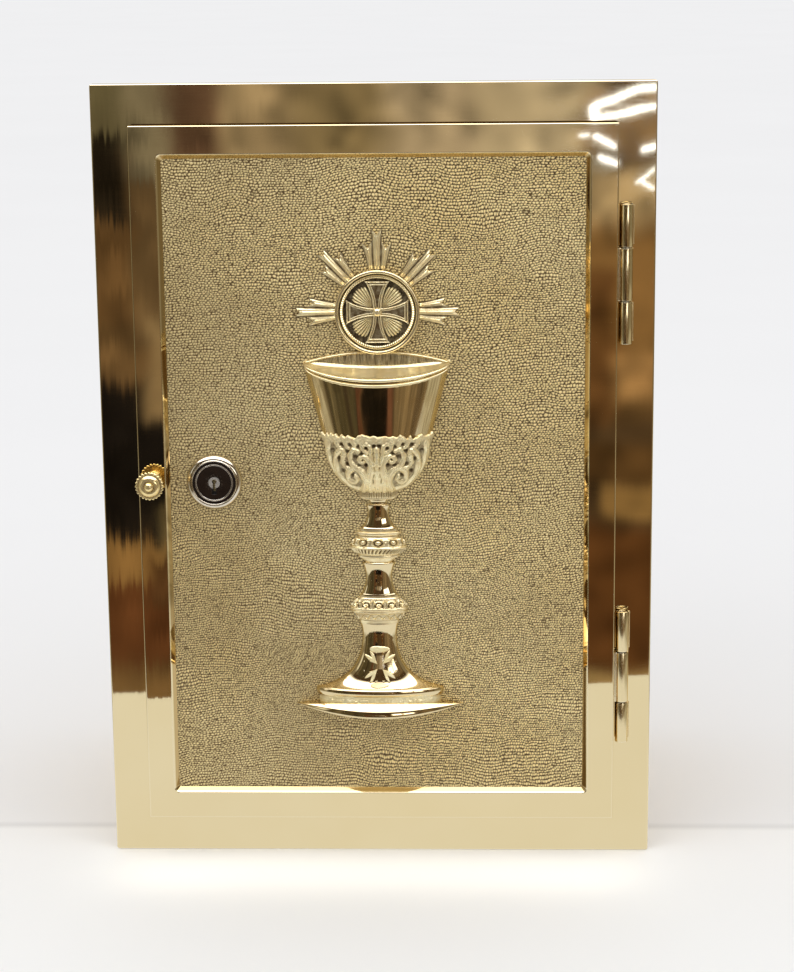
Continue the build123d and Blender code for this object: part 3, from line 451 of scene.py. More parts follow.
def grained_brass(name):
    """The panel: burnished pebbles with dark lines between them, painted shade on their lower sides and a
    painted highlight on their upper sides, and patches of uneven patina.
    """
    s = Shader(name)
    hollow = s.attribute("hollow")
    patches = s.noise(11.0, 4.0, 0.6)
    grime = s.noise(900.0, 3.0, 0.6)
    top = s.mix(s.remap(patches, 0.32, 0.68), rgb(1.0, 0.83, 0.43), rgb(0.93, 0.72, 0.32))
    top = s.mix(s.remap(grime, 0.55, 0.85), top, rgb(0.66, 0.46, 0.18))
    valley = s.mix(s.remap(patches, 0.35, 0.7), rgb(0.12, 0.066, 0.018), rgb(0.080, 0.042, 0.012))
    tint = s.mix(s.remap(hollow, 0.10, 0.66), top, valley)
    roughness = s.plus(s.remap(grime, 0.3, 0.7, 0.26, 0.36), s.times(hollow, 0.2))
    skin = s.bump(s.noise(2100.0, 3.0, 0.6), 0.00005)
    return s.finish(tint, roughness, skin, 0.30)


def satin_brass(name):
    """Brass sheet as it left the shop: brushed and dull, with darker blotches and paler edges."""
    s = Shader(name)
    brushing = s.noise(40.0, 6.0, 0.6, stretch=(1.0, 1.0, 70.0))
    blotches = s.noise(14.0, 5.0, 0.6)
    tint = s.mix(s.remap(blotches, 0.35, 0.7), rgb(0.66, 0.50, 0.25), rgb(0.50, 0.36, 0.17))
    tint = s.mix(s.times(s.edge(0.0015), 0.7), tint, rgb(0.80, 0.66, 0.38))
    roughness = s.plus(s.remap(brushing, 0.3, 0.7, 0.34, 0.50), s.remap(blotches, 0.4, 0.8, 0.0, 0.12))
    skin = s.bump(brushing, 0.00002, under=s.bump(s.noise(30.0, 2.0), 0.0001))
    return s.finish(tint, roughness, skin)


def cedar_wood(name, turn=(0, 0, 0)):
    """Planed cedar with growth rings, pores and a little unevenness. Its grain runs along X."""
    s = Shader(name)
    wander = s.noise(5.0, 3.0, stretch=(0.6, 2.0, 2.0), turn=turn)
    rings = s.noise(38.0, 3.0, 0.5, stretch=(0.05, 1.0, 1.0), turn=turn)
    bands = s.math("SINE", s.times(s.plus(rings, wander), 42.0))
    pores = s.noise(900.0, 3.0, 0.6, stretch=(0.035, 1.0, 1.0), turn=turn)
    tint = s.mix(s.remap(bands, -1.0, 1.0), rgb(0.45, 0.21, 0.10), rgb(0.27, 0.105, 0.048))
    tint = s.mix(s.remap(wander, 0.35, 0.7), tint, rgb(0.52, 0.27, 0.14))
    tint = s.mix(s.remap(pores, 0.60, 0.72), tint, rgb(0.12, 0.045, 0.02))
    tint = s.mix(s.times(s.edge(0.001), 0.5), tint, rgb(0.58, 0.34, 0.19))
    roughness = s.remap(pores, 0.3, 0.8, 0.48, 0.66)
    skin = s.bump(s.minus(s.times(bands, 0.25), pores), 0.00012)
    return s.finish(tint, roughness, skin, 0.0)


def zinc_steel(name, base=rgb(0.60, 0.61, 0.62)):
    """Plated fasteners: cool grey with a cloudy bloom, brighter at their corners."""
    s = Shader(name)
    bloom = s.noise(420.0, 4.0, 0.65)
    tint = s.mix(s.remap(bloom, 0.3, 0.75), base, rgb(0.42, 0.42, 0.40))
    edge = s.edge(0.0004)
    tint = s.mix(edge, tint, rgb(0.82, 0.82, 0.81))
    roughness = s.plus(s.remap(bloom, 0.3, 0.7, 0.24, 0.42), s.times(edge, -0.08))
    skin = s.bump(s.noise(2400.0, 3.0), 0.00003)
    return s.finish(tint, roughness, skin)


def lock_nickel(name):
    """Nickel plate, slightly cloudy, with light rub marks."""
    s = Shader(name)
    cloud = s.noise(260.0, 4.0, 0.6)
    tint = s.mix(s.remap(cloud, 0.3, 0.75), rgb(0.80, 0.73, 0.60), rgb(0.70, 0.62, 0.48))
    rubs = s.remap(s.noise(1500.0, 4.0, 0.7, stretch=(1, 1, 0.2)), 0.55, 0.75)
    roughness = s.plus(s.remap(cloud, 0.3, 0.7, 0.07, 0.13), s.times(rubs, 0.08))
    skin = s.bump(s.noise(3000.0, 2.0), 0.00001)
    return s.finish(tint, roughness, skin)


def keyway_nickel(name):
    """The lock's core: bright nickel, rubbed by keys, with painted shade that turns it black down in the
    keyway.
    """
    s = Shader(name)
    front = span("lock_core")[0][1]
    deep_painted_shade = s.remap(s.axis("Y"), (front + 0.25) * MM, (front + 0.8) * MM)
    rubs = s.remap(s.noise(1800.0, 4.0, 0.7, stretch=(1, 1, 0.3)), 0.5, 0.75)
    tint = s.mix(rubs, rgb(0.86, 0.84, 0.78), rgb(0.60, 0.55, 0.46))
    # painted shade: black down in the keyway
    tint = s.mix(deep_painted_shade, tint, rgb(0.008, 0.006, 0.005))
    metallic = s.minus(0.75, s.times(deep_painted_shade, 0.75))
    roughness = s.plus(s.remap(rubs, 0.0, 1.0, 0.12, 0.24), s.times(deep_painted_shade, 0.5))
    skin = s.bump(s.noise(2600.0, 2.0), 0.00002)
    return s.finish(tint, roughness, skin, metallic)


FACE_RING_R = 9.2  # radius of the polished ring on the lock's face


def lock_black(name):
    """Black lacquered lock face with a polished ring near its rim and key scratches round the keyhole."""
    s = Shader(name)
    centre = (LOCK_X * MM, 0, LOCK_Z * MM)
    flat = s.vector("MULTIPLY", s.vector("SUBTRACT", s.here(), centre), (1, 0, 1))
    radius = s.vector("LENGTH", flat, output="Value")
    from_ring = s.math("ABSOLUTE", s.minus(radius, FACE_RING_R * MM))
    ring = s.remap(from_ring, 0.18 * MM, 0.42 * MM, 1.0, 0.0)
    marks = s.remap(s.noise(2500.0, 4.0, 0.7, stretch=(1, 1, 0.3)), 0.55, 0.72)
    worn = s.times(marks, s.remap(radius, 3.6 * MM, 5.0 * MM, 0.6, 0.0))
    tint = s.mix(s.noise(300.0, 4.0), rgb(0.006, 0.004, 0.003), rgb(0.020, 0.012, 0.008))
    tint = s.mix(worn, tint, rgb(0.30, 0.26, 0.20))
    tint = s.mix(ring, tint, rgb(0.80, 0.74, 0.64))
    metallic = s.math("MAXIMUM", ring, s.times(worn, 0.8))
    roughness = s.plus(s.remap(s.noise(700.0, 3.0), 0.3, 0.7, 0.10, 0.18), s.times(worn, 0.1))
    dome = s.remap(radius, 3.0 * MM, 8.8 * MM, 1.0, 0.0)
    raised = s.plus(s.times(dome, 0.5), s.times(ring, 0.4))
    skin = s.bump(raised, 0.0007, under=s.bump(s.noise(2600.0, 2.0), 0.00002))
    return s.finish(tint, roughness, skin, metallic)


# ==== the panel ===============================================================================
GRAIN_STEP = 0.42  # spacing of the panel's points
GRAIN_PITCH = 1.27  # from one row of pebbles to the next
GRAIN_DEPTH = 0.6
PEBBLE_LENGTH = 1.3  # of a pebble along its row, over its width
PEBBLE_JITTER = 0.8  # how far pebbles stray from even spacing


def cell_chance(row, column, seed):
    """A fixed random number from 0 to 1 for each pebble."""
    size = 512
    table = np.random.default_rng(seed).uniform(0, 1, (size, size))
    return table[row % size, column % size]


def grain(x, z):
    """Height of the grain, 0 in its valleys and 1 on its pebbles, which sit in rows that wander."""
    swirl = ramp(-z, -40, 90)
    u = x + 2.5 * soft_noise(x, z, 34, 11) + swirl * 5.0 * soft_noise(x, z, 62, 12)
    v = z + 3.6 * soft_noise(x, z, 42, 13) + 1.8 * soft_noise(x, z, 14, 14)
    v += swirl * 5.0 * soft_noise(x, z, 70, 16)
    v += 0.34 * soft_noise(x, z, 3.2, 17)
    length = PEBBLE_LENGTH - 0.30 * swirl
    row = v / GRAIN_PITCH
    nearest = np.full(x.shape, 9.0)
    second = np.full(x.shape, 9.0)
    for down in (-1, 0, 1):
        at_row = np.floor(row).astype(int) + down
        column = u / (GRAIN_PITCH * length) + 0.5 * (at_row % 2)
        for aside in (-1, 0, 1):
            at_column = np.floor(column).astype(int) + aside
            across = at_column + 0.5 + PEBBLE_JITTER * (cell_chance(at_row, at_column, 3) - 0.5) - column
            up = at_row + 0.5 + 0.7 * PEBBLE_JITTER * (cell_chance(at_row, at_column, 4) - 0.5) - row
            apart = np.hypot(across * length, up)
            second = np.minimum(second, np.maximum(apart, nearest))
            nearest = np.minimum(nearest, apart)
    border = ramp(second - nearest, 0.0, 0.50)
    upwards = row - np.floor(row)
    rows = 1 - np.abs(2 * upwards - 1) ** 2.5
    height = np.clip(0.50 * border + 0.24 * rows + 0.26 * (1 - nearest**2), 0, 1)
    return height, upwards


def grain_tone(x, z):
    """How strongly the valleys and the pebbles' lower sides stand out: most towards the top right and near
    the top and bottom, least towards the left, where the panel is also darker overall.
    """
    tone_strength = 0.55 + 0.45 * ramp(x + 0.4 * z, -90, 90) + 0.22 * soft_noise(x, z, 38, 18)
    return np.clip(tone_strength * (0.8 + 0.2 * ramp(np.abs(z), 60, 150)), 0.2, 1)


def build_panel():
    low, high = PANEL_LOW[[0, 2]], PANEL_HIGH[[0, 2]]
    columns, rows = np.round((high - low) / GRAIN_STEP).astype(int) + 1
    x, z = np.meshgrid(np.linspace(low[0], high[0], columns), np.linspace(low[1], high[1], rows))
    height, upwards = grain(x, z)
    out = -GRAIN_DEPTH * (1 - height) + 0.01 * soft_noise(x, z, 9, 15) - 0.02
    front = np.stack([x, out, z], -1).reshape(-1, 3)
    thick = PANEL_HIGH[1] - PANEL_LOW[1]
    ends = ((low[0], low[1]), (high[0], low[1]), (high[0], high[1]), (low[0], high[1]))
    corners = np.array([(x_end, -thick, z_end) for x_end, z_end in ends])
    count = rows * columns
    index = np.arange(count).reshape(rows, columns)
    faces = grid_faces(rows, columns).tolist()
    edges = (index[0], index[:, -1], index[-1, ::-1], index[::-1, 0])
    for corner, edge in enumerate(edges):
        following = (corner + 1) % 4
        faces.append(edge[::-1].tolist() + [count + corner, count + following])
    faces.append([count, count + 3, count + 2, count + 1])
    points = np.concatenate([front, corners])
    tone = grain_tone(x, z)
    # valleys dark as patina; the last term is painted shade on each pebble's lower side and a painted
    # highlight on its upper side
    hollow = 0.34 * (1 - tone) + (1 - height) * (0.45 + 0.75 * tone) + 0.55 * (0.5 - upwards) * tone
    hollow = np.concatenate([hollow.ravel(), np.zeros(4)])
    make_piece("grained_panel", (points, faces), grained_brass("grained_brass"), "door_panel", hollow,
               at=PANEL_AT, sharp=75, weld=False)


# ==== the chalice =============================================================================
polished = mirror_brass("mirror_brass_relief", wave=0.00002, rough=0.05, edge_wear_and_highlight=False)
cast = cast_brass("cast_brass", bright=rgb(0.93, 0.84, 0.55), metal=0.65)
soft_cast = cast_brass("cast_brass_soft", rough=0.10, bright=rgb(0.97, 0.85, 0.52), metal=0.72)
ray_brass = cast_brass("ray_brass", rough=0.11, bright=rgb(0.99, 0.87, 0.52), grain=0.00001, metal=0.66)
bright_cast = cast_brass("cast_brass_bright", rough=0.24, bright=rgb(0.97, 0.87, 0.53), metal=0.60)

RIM_R = 37.2
RIM_Z = 61.8
CALYX_R = 27.6  # where the bowl comes out of the calyx
CALYX_Z = 24.5
BOWL_OUTLINE = np.array(arc((CALYX_R, CALYX_Z), (31.9, 41.0), (RIM_R, RIM_Z), 60))
MOUTH_SAG = 2.2  # how far the mouth's edge sags in the middle
MOUTH_LEAN = 0.307  # how far the mouth sinks for each millimetre outwards
MOUTH_CURVE = (RIM_R**2 + MOUTH_SAG**2) / (2 * MOUTH_SAG)
BEAD_LINES = (0.75, 3.45)  # below the lip
BEAD_HALF = 0.85
BEAD_HEIGHT = 0.8
GROOVE_LINE = 2.05  # between the beads
LIP_BAND = 9.0  # height of the finely divided band below the lip


def bowl_radius(z):
    """Radius of the bowl at a height."""
    return np.interp(z, BOWL_OUTLINE[:, 1], BOWL_OUTLINE[:, 0])


def mouth_line(x):
    """Height of the mouth's edge where it meets the panel."""
    return RIM_Z - MOUTH_SAG + MOUTH_CURVE - np.sqrt(MOUTH_CURVE**2 - np.minimum(np.abs(x), RIM_R) ** 2)


def build_bowl():
    angle = np.linspace(math.pi, 0, 221)
    lip_z = np.full_like(angle, RIM_Z)
    for _ in range(40):
        radius = bowl_radius(lip_z)
        lip_z = mouth_line(radius * np.cos(angle)) - MOUTH_LEAN * FLATTEN * radius * np.sin(angle)
    near = np.linspace(LIP_BAND, 0.0, 61)[:, None]
    far = np.linspace(0.0, 1.0, 40)[:-1, None]
    foot = CALYX_Z - 1.0
    z = np.concatenate([foot + far * (lip_z - near[0] - foot), lip_z - near])
    below = lip_z - z
    radius = bowl_radius(z)
    points = np.stack([radius * np.cos(angle), FLATTEN * radius * np.sin(angle), z], -1)
    scale = 0.42 + 0.58 * np.sin(angle) ** 0.7
    d = below / scale
    upper, lower = [ridge(d - line, BEAD_HALF) for line in BEAD_LINES]
    bead_lines = np.maximum(upper, lower)
    raised = BEAD_HEIGHT * bead_lines - 0.55 * dent(d - GROOVE_LINE, 0.45)
    raised *= ramp(np.sin(angle), 0.0, 0.35)
    raised += 0.04 * soft_noise(points[..., 0], z * 0.25, 5.0, 21) * ramp(below, 4, 9)
    wall = points + facing_normals(points) * raised[..., None]
    # the sloping face inside the mouth, from the lip back to the panel
    inward = np.linspace(0.02, 1.0, 44)[:, None]
    lip = wall[-1]
    x = lip[None, :, 0] * np.ones_like(inward)
    out = lip[None, :, 1] * (1 - inward) + LIP * inward
    slope_z = mouth_line(x) - MOUTH_LEAN * out
    join_z = lip[None, :, 2] - slope_z[:1]
    slope_z += join_z * (1 - ramp(inward, 0.0, 0.12))
    depth = np.sin(angle)
    slope_z += 0.45 * dent(inward - 0.06, 0.06) * depth - 1.1 * np.sin(math.pi * inward) * depth
    slope_z += 0.9 * dent(inward - 0.93, 0.05)
    slope_z += 0.10 * soft_noise(x, out * 2.0, 6.0, 22) * np.sin(math.pi * inward)
    slope = np.stack([x, out, slope_z], -1)
    front = np.concatenate([wall, slope])
    front[..., 1] = np.maximum(front[..., 1], LIP)
    slope_matt = 0.25 + 0.45 * ramp(inward, 0.1, 0.3) * np.ones_like(x)
    # the beads are marked pale and matt as a painted highlight; the mouth's slope is marked matt and pale
    matt = np.concatenate([0.6 * ramp(bead_lines, 0.1, 0.8), slope_matt])
    material = chased_brass("bowl_brass", 0.26, 0.0)
    make_piece("bowl", flat_backed(front), material, "chalice_bowl", both_sides(matt), sharp=50)


BACK_RISE = 5.6  # of the rim's far side over its ends
WIRE = 1.7  # width of the rim's wire


def build_back_rim():
    """The far side of the mouth: a reeded backing under the wire of the rim, cut by the host's ring."""
    curve = (RIM_R**2 + BACK_RISE**2) / (2 * BACK_RISE)
    ring_low, ring_high = span("host_ring")
    ring_r = (ring_high[0] - ring_low[0]) / 2 + 0.2
    ring_x = HOST_X - AXIS_X
    x = np.linspace(-RIM_R + 0.3, RIM_R - 0.3, 300)[None, :]
    arch = RIM_Z + BACK_RISE - curve + np.sqrt(curve**2 - x**2)
    low = mouth_line(x) + 0.15
    inside = np.clip(ring_r**2 - (x - ring_x) ** 2, 0, None)
    cut = np.where(inside > 0, HOST_Z - np.sqrt(inside), 1e3)
    top = np.minimum(arch, cut)
    share = np.linspace(0, 1, 46)[:, None]
    z = low + share * np.maximum(top - low, 0.02)
    from_arch = arch - z
    reeds = soft_noise(x * np.ones_like(z), z * 0.12, 0.55, 31)
    backing = 0.62 + 0.12 * reeds
    rim = 1.9 * ridge(from_arch - WIRE / 2, WIRE / 2)
    out = np.maximum(np.where(from_arch < WIRE, rim, backing), LIP)
    hollow = np.where(from_arch < WIRE, 0.0, 0.55 - 0.35 * reeds)
    front = np.stack([x * np.ones_like(z), out, z], -1)
    make_piece("back_rim", flat_backed(front), soft_cast, "chalice_rim_back", both_sides(hollow))


# strokes of the calyx's right half: points (x, z), half-widths at both ends, and height
LEAF_STROKES = (
    (((0, -4), (0, 4), (0, 10.5)), 2.3, 0.8, 0.9),
    (((0, 10), (0, 14), (0, 19)), 0.7, 1.2, 1.0),
    (((3.4, -3.4), (3.9, 3), (3.1, 8.5), (4.2, 13), (6.8, 15.3), (8.7, 13.9), (8.2, 12.0), (6.9, 12.4)),
     1.5, 0.8, 1.0),
    (((6.8, -3.0), (6.0, 1.6), (7.4, 6.6), (11.0, 8.6), (14.2, 6.5), (14.2, 2.9), (11.6, 1.2), (9.7, 2.9),
      (10.9, 4.7)), 1.6, 0.8, 1.1),
    (((9.8, -2.9), (15.0, -0.4), (18.9, 4.6), (20.6, 10.5), (20.2, 15.6), (17.6, 18.4), (16.3, 16.6)),
     1.3, 0.9, 1.0),
    (((12.5, -2.4), (18.6, 1.6), (22.6, 8.0), (24.4, 15.0), (24.8, 21.5)), 1.1, 1.2, 0.8),
    (((9.4, 8.6), (12.7, 11.4), (13.4, 15.6), (11.4, 18.9), (9.2, 17.6)), 1.2, 0.8, 0.9),
    (((14.6, 8.4), (17.2, 11.8), (16.8, 15.0)), 0.9, 1.1, 0.8),
    (((1.6, 11.0), (3.0, 16.0), (3.4, 20.0), (5.4, 21.8)), 0.9, 0.8, 0.9),
    (((5.2, 17.2), (7.0, 19.4), (7.6, 22.6)), 0.8, 1.1, 0.9),
    (((10.4, 20.6), (11.8, 22.4), (12.4, 24.4)), 0.9, 1.0, 0.8),
    (((14.2, 19.6), (15.6, 21.8), (15.9, 24.4)), 0.8, 1.0, 0.9),
    (((18.8, 19.4), (20.4, 21.6), (20.6, 24.4)), 0.9, 1.0, 0.8),
)
DRILL_HOLES = (  # of the leafwork's right half: x, z and width
    (1.5, 20.6, 0.75), (5.3, 10.6, 0.65), (8.9, 10.4, 0.6), (8.0, 16.6, 0.7), (12.1, 4.9, 0.7),
    (14.9, 10.6, 0.8), (10.9, 14.8, 0.8), (14.6, 17.8, 0.75), (5.6, 19.6, 0.6), (9.6, 20.4, 0.7),
    (13.2, 21.4, 0.65), (17.6, 21.2, 0.7), (19.0, 13.4, 0.7), (22.4, 17.6, 0.7), (7.4, 13.3, 0.4),
    (17.2, 7.2, 0.6),
)
HOLE_DEPTH = 1.5


def leafwork(x, z):
    """Height of the calyx's leaves, about -1 to 1."""
    side = np.abs(x) + 0.25 * soft_noise(x, z, 7.0, 41)
    up = z + 0.25 * soft_noise(x, z, 7.0, 42)
    height = np.zeros_like(x)
    for points, start, end, tall in LEAF_STROKES:
        line = curve_through(points)
        share = np.linspace(0, 1, len(line))
        best = np.full(x.shape, 1e9)
        where = np.zeros(x.shape)
        for (px, pz), s in zip(line, share):
            d2 = (side - px) ** 2 + (up - pz) ** 2
            closer = d2 < best
            best[closer] = d2[closer]
            where[closer] = s
        width = 1.2 * (start + (end - start) * where) * (1 + 0.16 * np.cos(where * 26))
        reach = np.sqrt(best) / width
        rib = 1 - 0.16 * np.cos(np.clip(reach, 0, 1) * 3 * math.pi)
        height = np.maximum(height, tall * np.sqrt(np.clip(1 - reach**2, 0, 1)) * rib)
    for px, pz, width in DRILL_HOLES:
        height -= HOLE_DEPTH * dent(np.hypot(side - px, up - pz), width)
    return height


def granular(x, z, size, seed):
    """Noise from -1 to 1 with grains of about that size and of half of it."""
    return 0.6 * soft_noise(x, z, size, seed) + 0.4 * soft_noise(x, z, size * 0.5, seed + 1)


CALYX_TURN = (21.6, 6.0)  # where the calyx's side turns into its underside
CALYX_FOOT = (9.1, -3.8)


def build_calyx():
    upper = arc((CALYX_R, CALYX_Z), (25.2, 14.0), CALYX_TURN, 24)
    lower = arc(CALYX_TURN, (16.8, 0.4), CALYX_FOOT, 24)
    top_z = CALYX_Z + 3.4
    outline = (upper + lower[1:])[::-1] + [(float(bowl_radius(top_z)), top_z)]

    def relief(x, z, angle):
        along = angle * 27.0
        edge = CALYX_Z + 0.9 + 1.1 * soft_noise(along, 0 * along, 1.9, 43)
        edge += 0.7 * soft_noise(along, 0 * along, 5.5, 44)
        leaves = leafwork(x, z)
        rough = granular(along, z, 0.75, 45)
        band = ramp(z, CALYX_Z - 4.0, CALYX_Z - 0.5)
        height = 0.35 + 1.05 * leaves * (1 - 0.75 * band) + band * (0.55 + 0.45 * rough)
        gone = ramp(z - edge, -0.35, 0.25)
        shade = np.clip(0.64 - 1.3 * leaves + 0.2 * rough, 0, 1) * (1 - 0.65 * band)
        return height * (1 - gone) - 1.4 * gone, shade * (1 - gone)

    front, shade = turned(outline, 261, relief, 0.28)
    make_piece("calyx", flat_backed(front), bright_cast, "chalice_calyx", both_sides(shade), sharp=70)


def casting(name, node, outline, columns, relief, material, step, hollow_gain=1.0, sharp=45):
    """A half-turned casting with a relief that also darkens its hollows."""

    def shaded(x, z, angle):
        raised = relief(x, z, angle)
        return raised, np.clip(-raised * hollow_gain, 0, 1)

    front, shade = turned(outline, columns, shaded, step)
    make_piece(name, flat_backed(front), material, node, both_sides(shade), sharp=sharp)


def build_collar():
    outline = [(8.4, -8.9), (8.8, -8.7)] + arc((8.9, -8.3), (9.9, -6.4), (9.3, -4.2), 14) + [(8.9, -3.6)]

    def relief(x, z, angle):
        ribs = np.abs(np.cos(angle * 24))
        return between(z, -8.0, -4.0) * (0.55 * ribs - 0.40) + 0.15 * dent(z + 8.4, 0.25)

    casting("collar", "chalice_collar", outline, 261, relief, soft_cast, step=0.2, hollow_gain=2.4)


def smooth(x, z, angle):
    """The slight unevenness of a polished stem."""
    return 0.02 * soft_noise(angle * 9, z, 3.0, 51)


def build_upper_stem():
    outline = [(9.3, -24.5), (9.2, -24.1)] + arc((8.6, -23.7), (5.5, -17.6), (6.1, -12.4), 24)
    outline += [(5.9, -11.9), (4.3, -11.7), (4.1, -10.6), (4.6, -9.6), (4.7, -8.9)]
    casting("upper_stem", "chalice_upper_stem", outline, 121, smooth, polished, step=0.22, sharp=50)


def cabochons(z, angle, row_z, radius, count, tall):
    """Studs in ring settings, evenly spaced round a band."""
    step = math.pi / count
    off = (angle - math.pi / 2 + step / 2) % step - step / 2
    d = np.hypot(off * radius * 0.75, z - row_z)
    return tall * ridge(d, 1.15) - 0.55 * dent(d - 1.55, 0.3) + 0.45 * dent(d - 2.05, 0.3)


def build_upper_knop():
    outline = [(6.9, -42.0), (7.4, -41.6), (8.9, -40.0), (9.1, -39.6), (10.4, -39.3), (10.6, -38.6)]
    outline += [(10.2, -38.0), (11.4, -37.4), (13.9, -35.0), (14.6, -34.4), (14.7, -33.9), (14.1, -33.6)]
    outline += [(13.4, -33.3)]
    outline += arc((13.2, -33.0), (13.3, -31.0), (11.6, -29.2), 12)
    outline += [(11.0, -29.0), (10.2, -28.6), (10.2, -27.9), (11.3, -27.5), (11.9, -26.8), (11.3, -26.1)]
    outline += [(9.6, -25.7), (9.5, -25.2), (9.4, -24.5)]

    def relief(x, z, angle):
        rope = between(z, -37.2, -34.5)
        slant = np.cos(angle * 40 + (z + 36) * 1.6)
        band = between(z, -33.2, -29.2)
        studs = cabochons(z, angle, row_z=-31.1, radius=12.6, count=5, tall=1.35)
        return rope * (0.38 * slant - 0.12) + band * studs

    casting("upper_knop", "chalice_upper_knop", outline, 301, relief, soft_cast, step=0.2, hollow_gain=2.2)


def build_middle_stem():
    outline = [(9.6, -59.5), (9.5, -58.9), (9.0, -58.5)] + arc((8.8, -58.2), (6.7, -50.5), (8.2, -43.2), 26)
    outline += [(8.4, -42.8), (8.4, -42.4), (7.6, -42.0)]
    casting("middle_stem", "chalice_middle_stem", outline, 121, smooth, polished, step=0.22, sharp=50)


def zigzag(angle, z, low, high, count):
    """Raised zigzag line between two heights."""
    phase = (angle * count / math.pi) % 1.0
    line = low + (high - low) * (1 - np.abs(2 * phase - 1))
    return 0.5 * dent(z - line, 0.38)


def build_lower_knop():
    outline = [(10.0, -74.4), (10.1, -73.4), (10.3, -72.6), (10.1, -72.2), (11.4, -71.4), (12.6, -69.6)]
    outline += [(13.4, -68.6)] + arc((14.1, -68.4), (14.8, -67.9), (14.1, -67.3), 6)
    outline += arc((14.2, -67.1), (14.9, -66.5), (14.1, -65.9), 6)
    outline += arc((13.8, -65.6), (12.7, -62.6), (10.4, -60.6), 12)
    outline += [(10.0, -60.4), (10.0, -60.0), (9.9, -59.5)]

    def relief(x, z, angle):
        upper = between(z, -65.5, -60.9)
        lower = between(z, -72.0, -68.7)
        studs = cabochons(z, angle, row_z=-64.3, radius=13.2, count=6, tall=0.6) * 0.7
        high = upper * (zigzag(angle, z, -65.2, -61.6, 6) * 1.5 + studs - 0.22)
        return high + lower * (zigzag(angle, z, -71.8, -69.2, 9) * 1.3 - 0.2)

    casting("lower_knop", "chalice_lower_knop", outline, 281, relief, soft_cast, step=0.2, hollow_gain=2.0)


CROSS_X = 0.2  # middle of the engraved cross on the foot
CROSS_Z = -96.6
SPRAY = ((16, 8.8), (37, 9.9), (58, 9.6), (76, 8.2))  # leaves beside each arm: degrees and reach


def leaf(x, z, root, tip, half_width):
    """A pointed leaf from root to tip: 1 inside it."""
    along_x, along_z = tip[0] - root[0], tip[1] - root[1]
    length = math.hypot(along_x, along_z)
    u = ((x - root[0]) * along_x + (z - root[1]) * along_z) / length**2
    v = np.abs((x - root[0]) * along_z - (z - root[1]) * along_x) / length
    width = half_width * np.sqrt(np.clip(np.sin(math.pi * np.clip(u, 0, 1) ** 0.7), 0, 1))
    return ramp(width - v, 0.0, 0.45) * (u > 0) * (u < 1)


def foot_ornament(x, z):
    """Sprays of leaves that leave a cross pattee between them: 1 on them, 0 beside them."""
    side, up = x - CROSS_X, z - CROSS_Z
    mark = np.zeros_like(x)
    for sx in (-1, 1):
        for sz in (-1, 1):
            for turn, reach in SPRAY:
                a = math.radians(turn)
                root = (1.3 * sx, 1.5 * sz)
                tip = (reach * math.cos(a) * sx, reach * math.sin(a) * sz)
                mark = np.maximum(mark, leaf(side, up, root, tip, 1.05))
    crown = leaf(side, up, (-5.2, 8.9), (5.2, 8.9), 1.7)
    hem = leaf(side, up, (-4.6, -9.3), (4.6, -9.3), 1.3)
    arms = (np.abs(side) < 0.9 + 0.34 * np.abs(up)) * (np.abs(up) < 7.2) > 0
    arms |= (np.abs(up) < 0.9 + 0.34 * np.abs(side)) * (np.abs(side) < 8.0) > 0
    return np.maximum(np.maximum(crown, hem), mark * ~arms)


FOOT_TURN = (13.8, -97.9)  # radius and height where the foot's flare meets its stem
FOOT_WAIST = (8.9, -82.5)


def build_foot():
    outline = [(31.9, -112.0), (32.3, -111.9), (32.6, -111.3)]
    outline += arc((32.7, -111.0), (33.0, -109.6), (32.4, -108.2), 10)
    outline += [(31.6, -107.9), (31.0, -108.1), (30.6, -108.0)]
    outline += arc((30.4, -107.8), (20.5, -103.9), FOOT_TURN, 22)
    outline += arc(FOOT_TURN, (10.1, -90.0), FOOT_WAIST, 16)[1:]
    outline += arc(FOOT_WAIST, (9.0, -78.0), (9.9, -74.6), 10)[1:] + [(9.9, -74.4)]

    def relief(x, z, angle):
        mark = foot_ornament(x, z)
        leafy = mark * (0.75 + 0.25 * soft_noise(x, z, 0.9, 61))
        return 0.42 * leafy + 0.02 * soft_noise(angle * 9, z, 4.0, 62), mark

    front, mark = turned(outline, 361, relief, 0.22)
    front[..., 1] *= 1 - 0.16 * ramp(-front[..., 2], 92, 106)
    front[..., 1] = np.maximum(front[..., 1], LIP)
    material = chased_brass("foot_brass", 0.42, 0.00012)
    make_piece("foot", flat_backed(front), material, "chalice_foot", both_sides(mark), sharp=50)


BASE_REACH = 43.5
BASE_TIP_Z = -117.6
BASE_TOP_Z = -113.9
BASE_BOTTOM_Z = -120.7
BASE_SHRINK = 0.997  # keeps the base's front just inside the CAD's
BASE_LEANS = ((0, 0.10, 0.42, 0.60, 1.0), (53, 51, 45, 28, -8))  # share of the fall, and degrees from upright


